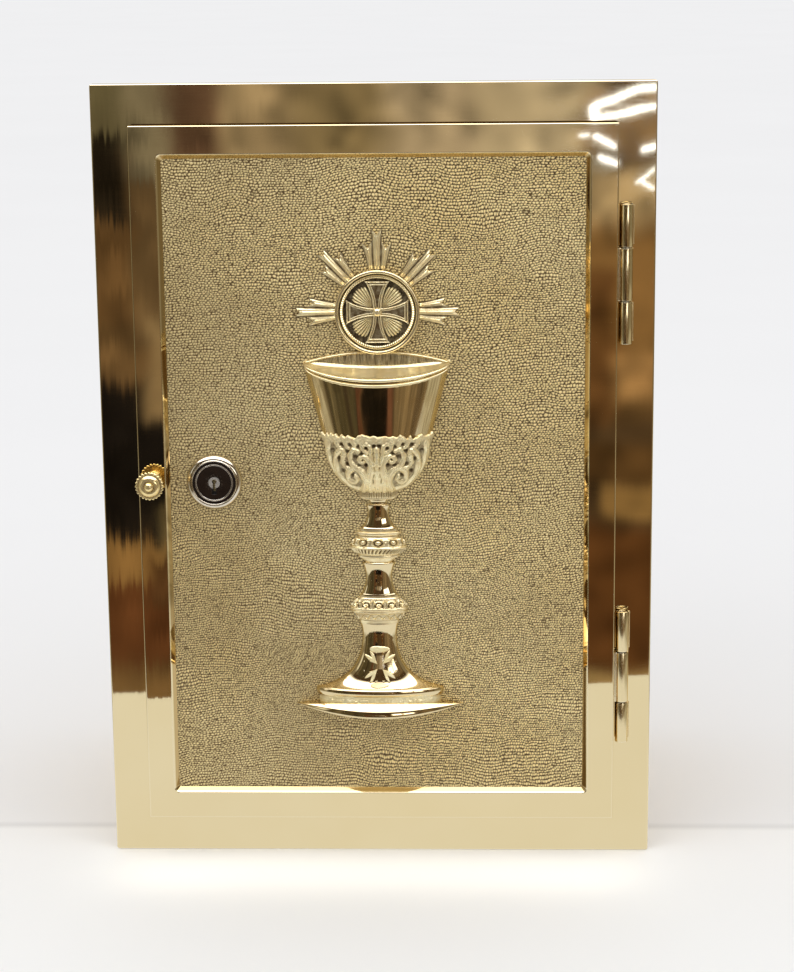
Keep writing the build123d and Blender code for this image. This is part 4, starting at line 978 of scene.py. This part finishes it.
def build_base():
    x = np.linspace(-BASE_REACH + 0.15, BASE_REACH - 0.15, 301)[None, :]
    share = 1 - (x / BASE_REACH) ** 2
    top = BASE_TIP_Z + (BASE_TOP_Z - BASE_TIP_Z) * share
    bottom = BASE_TIP_Z + (BASE_BOTTOM_Z - BASE_TIP_Z) * share
    # the front face leans back at its top and stands upright at its foot
    fall = np.linspace(0, 1, 60)
    lean = np.radians(np.interp(fall, *BASE_LEANS))
    outward = np.concatenate([[0], np.cumsum(np.sin(lean[1:]))])
    downward = np.concatenate([[0], np.cumsum(np.cos(lean[1:]))])
    outward, downward = outward / downward[-1], downward / downward[-1]
    edge = BASE_SHRINK * FLATTEN * BASE_REACH * share
    face_out = edge + (top - bottom) * (outward - outward.max())[::-1, None]
    face_z = top - (top - bottom) * downward[::-1, None]
    back_share = np.linspace(1, 0, 8)[1:, None]
    level = np.concatenate([face_z, top * np.ones_like(back_share)])
    depth = np.concatenate([face_out, face_out[-1:] * back_share])
    across = x * np.ones_like(level)
    out = np.maximum(depth + 0.05 * soft_noise(across, level, 9, 71), LIP)
    crescent = flat_backed(np.stack([across, out, level], -1))

    def relief(px, pz, angle):
        return 0.30 * granular(angle * 30, pz, 0.8, 72), np.full(px.shape, 0.8)

    outline = [(31.2, -116.4), (31.2, -113.6), (30.3, -112.4), (30.3, -111.0)]
    pad_front, pad_shade = turned(outline, 361, relief)
    pad = (flat_backed(pad_front), both_sides(pad_shade))
    solid, hollow = join([(crescent, np.zeros(len(crescent[0]))), pad])
    make_piece("base", solid, chased_brass("base_brass", 0.30, 0.0001), "chalice_base", hollow, sharp=60)


# ==== the host ================================================================================
FIELD_R = 17.0  # radius of the host's field, inside its ring
FIELD_LEVEL = 1.0  # how far out the arms, fans and stud start


def host_piece(name, solid, material, node, hollow, sharp=40):
    """A piece laid out from the host's middle."""
    make_piece(name, solid, material, node, hollow, HOST_AT, sharp=sharp)


def build_ring():
    outline = [(21.0, -SINK), (21.1, 2.6)] + arc((21.1, 2.9), (20.3, 4.5), (19.4, 3.4), 14)[1:]
    outline += [(19.2, 2.7), (18.9, 2.3), (18.75, 2.9), (18.4, 3.25), (17.6, 3.2), (17.15, 2.8)]
    outline += [(FIELD_R, 1.2), (FIELD_R, -SINK)]
    fine = resample(outline, 0.18)

    def milling(radius, out, angle):
        band = between(radius, 17.2, 18.75, 0.2) * ramp(out, 2.4, 2.7)
        return radius, out + band * 0.17 * np.cos(angle * 96)

    solid = spun(fine, 576, milling)
    radius = np.hypot(solid[0][:, 0], solid[0][:, 2])
    groove = dent(radius - 18.95, 0.28) * (solid[0][:, 1] > 1.5)
    band = cast_brass("band_brass", rough=0.08, bright=rgb(0.95, 0.82, 0.49), grain=0.00001, metal=0.86)
    host_piece("host_band", solid, band, "host_ring", np.clip(groove, 0, 1))


def build_disc():
    radius = np.linspace(FIELD_R, 0.0, 60)
    outline = [(0.0, -SINK), (FIELD_R, -SINK)] + [(r, 1.25 + 0.35 * (r / FIELD_R) ** 2) for r in radius]

    def sunburst(r, out, angle):
        return r, out + 0.05 * np.cos(angle * 90) * ramp(r, 3, 12) * (out > 0.5)

    solid = spun(outline, 360, sunburst)
    flat = np.hypot(solid[0][:, 0], solid[0][:, 2])
    material = cast_brass("host_field_brass", rough=0.28, dark=rgb(0.045, 0.03, 0.016))
    host_piece("host_field", solid, material, "host_disc", ramp(flat, 4, 14) * 0.95)


def turn_quarters(points, quarters):
    """Turns points about the out axis, from straight up towards the right."""
    angle = quarters * math.pi / 2
    x, z = points[..., 0].copy(), points[..., 2].copy()
    turned_points = points.copy()
    turned_points[..., 0] = x * math.cos(angle) + z * math.sin(angle)
    turned_points[..., 2] = -x * math.sin(angle) + z * math.cos(angle)
    return turned_points


ARM_START = 1.2
ARM_REACH = 15.6


def arm_width(u):
    """Half-width of a cross arm: a narrow waist that flares to its end."""
    return 2.1 + 4.1 * (np.clip(u, 0, ARM_REACH) / ARM_REACH) ** 2.3


def arm_solid(quarters):
    """One arm of the host's cross, with raised edges round a granular field."""
    u = np.linspace(ARM_START, ARM_REACH, 90)[:, None]
    v = np.linspace(-1, 1, 61)[None, :]
    x = v * arm_width(u)
    edge = arm_width(u) - np.abs(x)
    end = ARM_REACH - u
    border = np.maximum(ridge(edge - 0.5, 0.5), ridge(end - 0.45, 0.45) * np.ones_like(x))
    across_end = 0.8 * ridge(end - 1.75, 0.45) * (edge > 1.0)
    second = np.maximum(across_end, 0.55 * ridge(edge - 1.5, 0.35) * (end > 2))
    field = 0.12 * granular(x, u * np.ones_like(x), 0.7, 81)
    out = 2.1 + np.maximum(1.15 * border, 0.7 * second) + field
    hollow = np.clip(0.9 - 1.6 * border - 1.6 * second, 0, 1)
    points = np.stack([x, out, u * np.ones_like(x)], -1)
    return flat_backed(turn_quarters(points, quarters), FIELD_LEVEL), both_sides(hollow)


def build_cross():
    solid, hollow = join([arm_solid(quarters) for quarters in range(4)])
    host_piece("host_cross_arms", solid, cast, "host_cross", hollow)


PETALS = 7
FAN_ROOT = 2.6  # from the host's middle
FAN_REACH = 15.1


def fan_solid(quarters):
    """A shell of rounded petals between two arms."""
    t = np.linspace(0, 1, PETALS * 14 + 1)[None, :]
    wave = np.abs(np.sin(math.pi * PETALS * t))
    whole = FAN_REACH - 1.4 * (2 * t - 1) ** 2 - 1.1 * (1 - wave**0.7)
    share = np.linspace(0, 1, 60)[:, None]
    radius = FAN_ROOT + share * (whole - FAN_ROOT)
    half = math.pi / 4 - np.arcsin(np.clip((arm_width(radius) + 0.25) / radius, 0, 0.69))
    angle = math.pi / 4 + (2 * t - 1) * np.maximum(half, 0.02)
    tip = np.sqrt(np.clip(1 - ramp(share, 0.86, 1.0), 0, 1))
    out = 1.3 + (0.35 + 1.25 * wave**0.6 * ramp(share, 0.0, 0.35)) * (0.35 + 0.65 * tip)
    # columns run to the right while rows run outwards, so the angle is taken from the vertical
    points = np.stack([radius * np.sin(angle), out * np.ones_like(radius), radius * np.cos(angle)], -1)
    hollow = np.broadcast_to(np.clip(1.1 - 2.4 * wave, 0, 1), radius.shape)
    return flat_backed(turn_quarters(points, quarters), FIELD_LEVEL), both_sides(hollow)


def build_fans():
    solid, hollow = join([fan_solid(quarters) for quarters in range(4)])
    host_piece("host_shells", solid, bright_cast, "host_fans", hollow, sharp=60)


STUD_SIDES = 8


def build_boss():
    outline = [(0.0, FIELD_LEVEL), (2.2, FIELD_LEVEL), (2.3, 2.9), (1.9, 3.7), (1.1, 4.3), (0.0, 4.5)]

    def facets(radius, out, angle):
        phase = (angle * STUD_SIDES / (2 * math.pi)) % 1.0
        half = math.pi / STUD_SIDES
        return radius * np.cos(half) / np.cos((phase - 0.5) * 2 * half), out

    solid = spun(outline, 48, facets)
    hollow = np.zeros(len(solid[0]))
    host_piece("host_stud", solid, soft_cast, "host_boss", hollow, sharp=25)


RAY_DIRECTIONS = (0, 47, 90, 133, 180)  # degrees
RAY_START = 21.3  # from the host's middle
# bars of a ray that points up: x and z of both ends, half-widths at both ends, height, and depth of the notch
RAY_BARS = (
    ((-3.0, RAY_START), (-4.9, 34.9), 1.4, 2.7, 1.7, 3.2),
    ((3.0, RAY_START), (4.9, 34.9), 1.4, 2.7, 1.7, 3.2),
    ((0.0, RAY_START), (0.0, 41.5), 1.9, 2.6, 2.1, 3.0),
)


def ray_bar(start, tip, base_half, tip_half, tall, notch):
    """A bar with a roof ridge and a swallowtail end, from start to tip (x, z)."""
    start, tip = np.array(start), np.array(tip)
    length = np.hypot(*(tip - start))
    ahead = (tip - start) / length
    aside = np.array([ahead[1], -ahead[0]])
    v = np.linspace(-1, 1, 33)[None, :]
    share = np.linspace(0, 1, 40)[:, None]
    along = share * (length - notch * (1 - np.abs(v)))
    half = base_half + (tip_half - base_half) * (along / length) ** 1.4
    x = start[0] + ahead[0] * along + aside[0] * v * half
    z = start[1] + ahead[1] * along + aside[1] * v * half
    flutes = 0.12 * np.cos(v * 4 * math.pi)
    rise = 0.55 + 0.45 * ramp(share, 0, 0.25)
    out = (tall * (1 - 0.62 * np.abs(v)) + flutes) * rise * (1 - 0.25 * ramp(share, 0.9, 1))
    points = np.stack([x, np.maximum(out, LIP) * np.ones_like(x), z], -1)
    # painted shade along each bar's sides; the flutes' grooves darker and the tips lighter
    hollow = np.clip(1.2 * np.abs(v) ** 4 + 0.15 * (flutes < 0) - 0.3 * ramp(share, 0.7, 1), 0, 1)
    return points, hollow * np.ones_like(x)


def build_rays():
    parts = []
    for degrees in RAY_DIRECTIONS:
        for bar in RAY_BARS:
            points, hollow = ray_bar(*bar)
            parts.append((flat_backed(turn_quarters(points, (90 - degrees) / 90)), both_sides(hollow)))
    solid, hollow = join(parts)
    host_piece("host_rays_fine", solid, ray_brass, "host_rays", hollow, sharp=32)


# ==== knob and lock ===========================================================================
knob_brass = cast_brass("knob_brass", rough=0.06, bright=rgb(0.99, 0.80, 0.36), dark=rgb(0.22, 0.12, 0.03),
                        grain=0.000004, metal=0.78)
ROSE_BEADS = 20
KNOB_BEADS = 24


def beads(radius, out, angle, at, size, count, amount):
    """Swells a turned surface into beads round a circle, at a (radius, out) point."""
    near = np.exp(-(((radius - at[0]) / size) ** 2) - ((out - at[1]) / size) ** 2)
    swell = near * amount * (np.abs(np.cos(angle * count / 2)) - 0.45)
    return radius + swell, out


def bead_gaps(points, count, gain):
    """1 in the gaps between beads, for the points of a turned surface."""
    angle = np.arctan2(points[:, 2], points[:, 0])
    return np.clip(1.0 - np.abs(np.cos(angle * count / 2)) * gain, 0, 1)


def build_rose():
    outline = [(0.0, -0.02), (4.9, -0.02), (4.9, 0.5)] + arc((4.9, 0.7), (4.6, 1.6), (3.8, 1.8), 8)
    outline += [(3.4, 1.9), (0.0, 2.0)]
    fine = resample(outline, 0.22)

    def ripple(radius, out, angle):
        return beads(radius, out, angle, at=(4.8, 0.9), size=0.8, count=ROSE_BEADS, amount=0.5)

    points, faces = spun(fine, 240, ripple)
    hollow = bead_gaps(points, ROSE_BEADS, 2.2) * (np.hypot(points[:, 0], points[:, 2]) > 4.2)
    make_piece("rose", (points, faces), knob_brass, "knob_rose", hollow, KNOB_AT)


def build_knob():
    outline = [(0.0, 2.0), (3.3, 2.0)] + arc((3.6, 2.2), (2.6, 5.4), (3.4, 8.2), 20)
    outline += arc((3.6, 8.4), (3.8, 8.7), (3.4, 9.0), 5) + [(4.6, 9.2), (6.0, 9.4)]
    outline += arc((6.4, 9.5), (6.95, 10.1), (6.3, 10.8), 10) + [(5.9, 10.85), (5.6, 10.7)]
    outline += arc((5.3, 10.9), (4.4, 11.8), (2.8, 12.1), 8) + [(2.45, 12.0)]
    outline += arc((2.35, 12.3), (1.9, 13.6), (0.0, 14.28), 9)
    fine = resample(outline, 0.2)

    def ripple(radius, out, angle):
        return beads(radius, out, angle, at=(6.7, 10.1), size=1.0, count=KNOB_BEADS, amount=0.8)

    points, faces = spun(fine, 288, ripple)
    flat = np.hypot(points[:, 0], points[:, 2])
    gaps = bead_gaps(points, KNOB_BEADS, 2.4)
    front = points[:, 1] > 10.5
    hollow = gaps * (flat > 6.1) + dent(flat - 5.65, 0.22) * front + dent(flat - 2.5, 0.2) * front
    make_piece("pull_knob", (points, faces), knob_brass, "door_knob", np.clip(hollow, 0, 1), KNOB_AT)


def build_bezel():
    outline = [(11.0, 0.0), (14.1, 0.0), (14.2, 0.5)] + arc((14.1, 0.8), (13.3, 2.3), (11.9, 3.1), 16)
    outline += [(11.75, 3.0)] + arc((11.6, 3.1), (11.3, 3.4), (11.0, 3.1), 6)
    make_piece("bezel", spun(outline, 192), lock_nickel("lock_nickel"), "lock_bezel", at=LOCK_AT,
               sharp=50)


# ==== CAD nodes that keep their shape =========================================================


def soften(piece, width):
    """Rounds a CAD node's edges with modifiers, which leave its own mesh as it is."""
    weld = piece.modifiers.new("weld", "WELD")
    weld.merge_threshold = 0.01 * MM
    bevel = piece.modifiers.new("edges", "BEVEL")
    bevel.width = width * MM
    bevel.segments = 2
    bevel.limit_method = "ANGLE"
    bevel.angle_limit = math.radians(40)
    bevel.harden_normals = False


def dress(node, material, width=0.0):
    """Gives a CAD node a material and, with a width, rounded edges."""
    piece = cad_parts[node]
    piece.data.materials.clear()
    piece.data.materials.append(material)
    if width:
        soften(piece, width)


# steel nodes, and the width of their rounded edges
STEEL_EDGES = (
    ("frame_studs", 0.3), ("frame_nuts", 0.35), ("strike_block", 0.5), ("strike_screws", 0.3),
    ("door_plate_screws", 0.1), ("relief_screws", 0.1), ("knob_screw", 0.1), ("lock_washer", 0.15),
    ("lock_nut", 0.4), ("lock_cam", 0.3), ("cam_screw", 0.3),
)


def dress_cad():
    plate = mirror_brass("mirror_brass_plate")
    barrel = mirror_brass("mirror_brass_barrel", wave=0.00001, rough=0.17)
    satin = satin_brass("satin_brass")
    steel = zinc_steel("zinc_steel")
    hinge_steel = zinc_steel("hinge_pin_steel", rgb(0.34, 0.30, 0.24))
    braze = cast_brass("braze_brass", rough=0.25, bright=rgb(0.80, 0.60, 0.30), grain=0.00015,
                       grain_size=700.0)
    upright = cedar_wood("cedar_upright", (0, math.pi / 2, 0))
    level = cedar_wood("cedar_level")
    lengthwise = cedar_wood("cedar_lengthwise", (0, 0, math.pi / 2))
    dress("face_frame", plate)
    dress("door_frame", mirror_brass("mirror_brass_door", recess=DOOR_Y))
    for hinge in ("lower_hinge", "upper_hinge"):
        dress(f"{hinge}_frame_knuckles", barrel, 0.35)
        dress(f"{hinge}_door_knuckle", barrel, 0.35)
        dress(f"{hinge}_braze", braze, 0.2)
        dress(f"{hinge}_pin", hinge_steel, 0.2)
    for node in ("box_top", "box_floor", "box_left_side", "box_right_side", "back_plate", "door_plate"):
        dress(node, satin, 0.25)
    for side, grain_way in (("back", upright), ("left", lengthwise), ("right", lengthwise), ("floor", level),
                            ("top", level)):
        dress(f"lining_{side}", grain_way, 0.4)
    for node, width in STEEL_EDGES:
        dress(node, steel, width)
    dress("lock_core", keyway_nickel("keyway_nickel"), 0.12)
    dress("lock_body", lock_black("lock_black"), 0.15)


# ==== stage, light and camera =================================================================
WALL_LINE_Y = -0.170  # where the floor's tone changes, as at the foot of a wall
WALL_LINE_SOFT = 0.003
WALL_LINE_SHADOW = (0.0006, 0.006, 0.22, 0.0)  # from its middle to its edge, and its strength at both
PATCH_FRONT_Y = (-0.480, -0.512)  # how far forward polished surfaces see the white floor, left and right
PATCH_HALF = 1.2  # half-width of that floor, and how far it reaches behind
SHEET_SIDES = (0.26, 0.42)  # how far aside its white starts to dim and has dimmed
FLOOR_HALF = 60.0
FLOOR_GAP = 0.0002  # below the object
FRAME_WIDTH = 0.28  # of the face frame
ROOM_R = 3.0
# brightness of the room's parts
HALL = (0.075, 0.047, 0.027)
HALL_SIDES = (0.25, 0.215, 0.15)
HALL_REAR = (0.36, 0.33, 0.26)
GROUND = (0.16, 0.125, 0.085)
WINDOW = (3.0, 3.0, 3.0)
SIDE_LAMP = (0.9, 0.88, 0.80)
CEILING = (3.4, 3.4, 3.6)


def emission(name, colour_from):
    """A stage material that only glows. colour_from gets the shader and returns a colour."""
    s = Shader(name)
    s.tree.nodes.remove(s.surface)
    glow = s.node("ShaderNodeEmission", {"Color": colour_from(s)})
    s.tree.links.new(glow.outputs[0], s.tree.nodes["Material Output"].inputs["Surface"])
    s.material.cycles.emission_sampling = "NONE"
    return s.material


def stage_sheet(name, ends, level, material):
    """A level sheet between four corners (x, y)."""
    corners = [(x, y, level) for x, y in ends]
    mesh = bpy.data.meshes.new(name)
    mesh.from_pydata(corners, [], [tuple(range(len(corners)))])
    mesh.materials.append(material)
    sheet = new_object(name, mesh)
    return sheet


def only_mirrored(piece):
    """Lets a stage piece be seen by polished surfaces only."""
    for ray in ("camera", "diffuse", "shadow", "transmission", "volume_scatter"):
        setattr(piece, f"visible_{ray}", False)


def sheet_white(s):
    """White near the object, dim and warm to its sides."""
    white = s.mix(s.noise(4.0, 3.0), rgb(0.84, 0.85, 0.86), rgb(0.92, 0.93, 0.95))
    dim = s.mix(s.remap(s.noise(26.0, 3.0), 0.35, 0.65), rgb(0.30, 0.27, 0.20), rgb(0.62, 0.58, 0.48))
    return s.mix(s.remap(s.math("ABSOLUTE", s.axis("X")), *SHEET_SIDES), white, dim)


def build_floor():
    """The floor that the camera sees, and the white sheet that polished surfaces see in its place."""
    s = Shader("pale_floor")
    y = s.axis("Y")
    behind = s.remap(y, WALL_LINE_Y - WALL_LINE_SOFT, WALL_LINE_Y + WALL_LINE_SOFT)
    # a painted shadow line where the floor's tone changes, as at the foot of a wall
    painted_wall_shadow = s.remap(s.math("ABSOLUTE", s.minus(y, WALL_LINE_Y)), *WALL_LINE_SHADOW)
    mottle = s.noise(3.0, 2.0)
    near = s.mix(mottle, rgb(0.85, 0.85, 0.845), rgb(0.88, 0.88, 0.875))
    far = s.mix(mottle, rgb(0.80, 0.80, 0.805), rgb(0.825, 0.825, 0.83))
    tint = s.mix(painted_wall_shadow, s.mix(behind, near, far), rgb(0.35, 0.35, 0.35))
    roughness = s.remap(mottle, 0.3, 0.7, 0.55, 0.65)
    material = s.finish(tint, roughness, None, 0.0, 0.0)
    size = FLOOR_HALF
    ends = ((-size, -size), (size, -size), (size, size), (-size, size))
    floor = stage_sheet("floor", ends, FLOOR_Z - FLOOR_GAP, material)
    floor.visible_glossy = False
    # polished parts see a white sheet that ends a little way in front
    near_left, near_right = PATCH_FRONT_Y
    slant = (near_right - near_left) / FRAME_WIDTH * PATCH_HALF
    near = (near_left + near_right) / 2
    wide = PATCH_HALF
    ends = ((-wide, near - slant), (wide, near + slant), (wide, wide), (-wide, wide))
    patch = stage_sheet("floor_glow", ends, FLOOR_Z - FLOOR_GAP / 2, emission("floor_glow", sheet_white))
    only_mirrored(patch)


def lay(colour, mask, tint):
    """Paints a tint over a colour where the mask is 1."""
    return colour + (np.array(tint) - colour) * mask[..., None]


def patch_mask(azimuth, elevation, centre, half, soft):
    """1 inside a patch of directions, given by its middle and half-size."""
    across = 1 - ramp(np.abs(azimuth - centre[0]), half[0] - soft, half[0] + soft)
    up = 1 - ramp(np.abs(elevation - centre[1]), half[1] - soft, half[1] + soft)
    return across * up


# what the polished parts mirror: middle and half-size in degrees, softness, and tint
BOWL_VIEW = (
    ((-37, -6), (19, 34), 3.0, (0.085, 0.070, 0.040)),
    ((-46, -2), (3, 30), 1.5, (0.17, 0.14, 0.085)),
    ((-28, -4), (2, 26), 1.0, (0.050, 0.036, 0.022)),
    ((-16, -14), (2.6, 22), 1.2, (0.12, 0.055, 0.032)),
    ((33, -8), (21, 34), 3.0, (0.20, 0.145, 0.085)),
    ((40, -8), (4, 30), 1.5, (0.14, 0.10, 0.06)),
    ((24, -10), (2, 28), 1.0, (0.30, 0.22, 0.13)),
    ((-1, -29), (11, 8), 1.2, (0.010, 0.008, 0.006)),
    ((9, -26), (2.2, 10), 0.9, (0.14, 0.065, 0.04)),
)
UPPER_VIEW = (
    ((-11.6, 0.8), (3.0, 2.4), 0.5, (0.145, 0.130, 0.088)),
    ((-9.5, 0.5), (0.9, 3.4), 0.4, (0.23, 0.205, 0.165)),
    ((-7.9, 0.6), (1.1, 3.2), 0.4, (0.11, 0.066, 0.049)),
    ((-5.7, 0.5), (1.4, 3.4), 0.5, (0.36, 0.285, 0.205)),
    ((-3.1, 0.5), (1.7, 3.4), 0.6, (0.27, 0.215, 0.14)),
    ((-0.2, 0.5), (1.8, 3.4), 0.6, (0.42, 0.36, 0.31)),
    ((2.9, 0.5), (2.0, 3.4), 0.6, (0.57, 0.50, 0.42)),
    ((5.9, -0.9), (1.5, 1.0), 0.4, (0.31, 0.21, 0.13)),
)
# bright slanting reflections: both ends in degrees, half-width, and brightness
GLEAMS = (
    ((4.75, -0.42), (6.85, 0.12), 0.09, 4.0),
    ((4.90, -0.82), (6.85, -0.52), 0.075, 4.0),
    ((4.68, -0.50), (4.78, -0.85), 0.11, 4.0),
    ((4.42, -1.34), (4.66, -1.36), 0.045, 3.0),
    ((4.86, -1.42), (5.32, -1.70), 0.065, 4.0),
    ((4.88, -2.00), (5.32, -2.18), 0.065, 4.0),
    ((6.35, -1.86), (6.90, -1.88), 0.07, 4.0),
    ((6.15, -3.00), (6.90, -2.55), 0.045, 4.0),
    ((6.30, -2.92), (6.90, -3.35), 0.045, 4.0),
)
LEFT_VIEW = (
    ((-12.6, -2.7), (2.0, 1.5), 0.25, (0.018, 0.014, 0.011)),
    ((-11.3, -6.3), (2.8, 2.1), 0.30, (0.15, 0.088, 0.044)),
    ((-11.4, -8.4), (2.6, 0.9), 0.25, (0.17, 0.105, 0.055)),
    ((-11.0, -11.9), (3.2, 2.5), 0.30, (0.011, 0.009, 0.009)),
    ((-11.0, -15.2), (3.2, 0.8), 0.20, (0.22, 0.13, 0.055)),
    ((-11.0, -17.3), (3.2, 1.4), 0.30, (0.11, 0.045, 0.020)),
    ((-11.0, -19.4), (3.2, 0.8), 0.30, (0.18, 0.11, 0.052)),
    ((-9.9, -5.6), (0.55, 2.8), 0.30, (0.15, 0.10, 0.058)),
    ((-9.5, -8.8), (0.60, 1.6), 0.25, (0.30, 0.215, 0.13)),
    ((-9.3, -14.2), (0.45, 1.0), 0.20, (0.15, 0.12, 0.07)),
    ((-9.7, -15.9), (0.70, 0.9), 0.20, (0.09, 0.045, 0.022)),
)
RIGHT_VIEW = (
    ((5.7, -3.5), (2.4, 1.1), 0.40, (0.46, 0.36, 0.25)),
    ((5.7, -7.4), (2.6, 3.0), 0.60, (0.24, 0.140, 0.062)),
    ((4.9, -8.4), (0.8, 2.4), 0.40, (0.16, 0.080, 0.034)),
    ((6.4, -9.4), (1.0, 0.8), 0.30, (0.33, 0.20, 0.10)),
    ((5.7, -12.2), (2.6, 0.7), 0.30, (0.09, 0.050, 0.022)),
    ((6.3, -13.4), (1.0, 0.5), 0.25, (0.28, 0.175, 0.077)),
    ((5.4, -16.6), (2.8, 2.4), 0.40, (0.10, 0.044, 0.017)),
    ((5.7, -19.5), (2.8, 0.6), 0.30, (0.35, 0.25, 0.13)),
)


def gleam_mask(azimuth, elevation, start, end, half):
    """1 along a line between two directions."""
    along = np.array(end) - np.array(start)
    share = ((azimuth - start[0]) * along[0] + (elevation - start[1]) * along[1]) / (along @ along)
    share = np.clip(share, 0, 1)
    apart = np.hypot(azimuth - start[0] - share * along[0], elevation - start[1] - share * along[1])
    return 1 - ramp(apart, half * 0.7, half * 1.3)


def room_colour(azimuth, elevation):
    """Light that comes from a direction, in degrees from straight in front and above the horizon."""
    az = azimuth + 0.25 * soft_noise(azimuth, elevation, 6, 91)
    az += 0.25 * soft_noise(azimuth, elevation, 1.4, 92)
    el = elevation + 0.15 * soft_noise(azimuth, elevation, 6, 93)
    el += 0.22 * soft_noise(azimuth, elevation, 1.2, 94)
    colour = np.zeros(azimuth.shape + (3,)) + HALL
    colour = lay(colour, ramp(np.abs(az), 54, 62), HALL_SIDES)
    colour = lay(colour, ramp(np.abs(az), 100, 130), HALL_REAR)
    for centre, half, soft, tint in BOWL_VIEW + UPPER_VIEW + LEFT_VIEW + RIGHT_VIEW:
        colour = lay(colour, patch_mask(az, el, centre, half, soft), tint)
    upright = soft_noise(az * 2.4, el * 0.25, 2.0, 95)
    slanted = soft_noise(az * 1.5 + el * 0.5, el * 1.6 - az * 0.4, 1.0, 96)
    blotches = soft_noise(az, el * 0.8, 0.6, 97)
    streaks = 1 + (0.22 * upright + 0.30 * slanted + 0.24 * blotches) * (np.abs(az) < 55)
    colour = colour * streaks[..., None]
    for start, end, half, bright in GLEAMS:
        colour = lay(colour, gleam_mask(az, el, start, end, half), (bright, 1.15 * bright, 1.6 * bright))
    colour = lay(colour, ramp(el, 34, 44), CEILING)
    window = patch_mask(azimuth, elevation, (24, 9), (11, 7), 1.5)
    mullion = 1 - patch_mask(azimuth, elevation, (23, 9), (0.8, 9), 0.4)
    colour = lay(colour, window * mullion, WINDOW)
    colour = lay(colour, patch_mask(azimuth, elevation, (-62, 12), (5, 12), 3.0), SIDE_LAMP)
    return lay(colour, ramp(-el, 40, 50), GROUND)


def spaced(stops, steps):
    """Values from the first stop to the last, closer together where more is to be seen."""
    parts = [np.arange(start, end - step / 2, step) for start, end, step in zip(stops, stops[1:], steps)]
    return np.concatenate(parts + [[stops[-1]]])


def build_room():
    """A dome that only polished parts see, painted with what stands in front of them."""
    # degrees, and the steps between them
    azimuth = spaced((-180, -24, 4, 7.5, 24, 180), (1.5, 0.2, 0.05, 0.2, 1.5))
    elevation = spaced((-90, -30, -4, 1, 20, 90), (2.0, 0.2, 0.05, 0.2, 2.0))
    az, el = np.meshgrid(azimuth, elevation)
    a, e = np.radians(az), np.radians(el)
    points = np.stack([np.sin(a) * np.cos(e), -np.cos(a) * np.cos(e), np.sin(e)], -1) * ROOM_R
    points += (0.0, FRONT_Y * MM, 0.0)
    mesh = bpy.data.meshes.new("room_glow")
    faces = grid_faces(*az.shape)
    mesh.from_pydata(points.reshape(-1, 3).tolist(), [], faces.tolist())
    glow = mesh.attributes.new("glow", "FLOAT_COLOR", "POINT")
    tint = np.concatenate([room_colour(az, el), np.ones(az.shape + (1,))], -1)
    glow.data.foreach_set("color", tint.astype(np.float32).ravel())
    mesh.materials.append(emission("room_glow", lambda s: s.attribute("glow", "Color")))
    room = new_object("room_glow", mesh)
    only_mirrored(room)


WORLD_TINT = rgb(1.0, 1.0, 1.005)
WORLD_STRENGTH = 1.07


def build_world():
    world = bpy.data.worlds.new("soft_white")
    world.use_nodes = True
    background = world.node_tree.nodes["Background"]
    background.inputs["Color"].default_value = WORLD_TINT
    background.inputs["Strength"].default_value = WORLD_STRENGTH
    scene.world = world


BOUNCE_Y = FRONT_Y * MM - 0.028
# area lights: name, place, aim, size, watts and tint
LIGHTS = (
    ("key", (-0.9, -1.5, 1.6), (0, -0.2, 0), (1.6, 1.2), 3.5, (1, 1, 1)),
    ("fill", (1.4, -1.2, 0.9), (0, -0.2, 0), (1.4, 1.4), 1.5, (1, 1, 1)),
    ("bounce", (0, BOUNCE_Y, -0.172), (0, BOUNCE_Y, -0.2), (0.26, 0.05), 0.026, (1.0, 0.96, 0.84)),
)


def area_light(name, place, aim, size, watts, tint):
    light = bpy.data.lights.new(name, "AREA")
    light.shape = "RECTANGLE"
    light.size, light.size_y = size
    light.energy = watts
    light.color = tint
    lamp = new_object(name, light)
    lamp.location = place
    lamp.rotation_euler = (Vector(place) - Vector(aim)).to_track_quat("Z", "Y").to_euler()
    lamp.visible_camera = False
    lamp.visible_glossy = False


CAMERA_PLACE = (0.05307, -1.42395, 0.27461)
CAMERA_TURN = (77.154, 0.564, 1.888)  # degrees
CAMERA_LENS = 90.93
SENSOR = 36.0


def build_camera():
    data = bpy.data.cameras.new("camera")
    data.lens = CAMERA_LENS
    data.sensor_width = SENSOR
    data.clip_start = 0.05
    data.clip_end = 200.0
    camera = new_object("camera", data)
    camera.location = CAMERA_PLACE
    camera.rotation_euler = [math.radians(a) for a in CAMERA_TURN]
    scene.camera = camera


build_camera()
build_world()
for light_values in LIGHTS:
    area_light(*light_values)
build_floor()
build_room()
dress_cad()
build_panel()
for build_chalice_part in (build_bowl, build_back_rim, build_calyx, build_collar, build_upper_stem,
                           build_upper_knop, build_middle_stem, build_lower_knop, build_foot, build_base):
    build_chalice_part()
for build_host_part in (build_ring, build_disc, build_cross, build_fans, build_boss, build_rays):
    build_host_part()
for build_fitting in (build_rose, build_knob, build_bezel):
    build_fitting()
scene.view_settings.view_transform = "Standard"
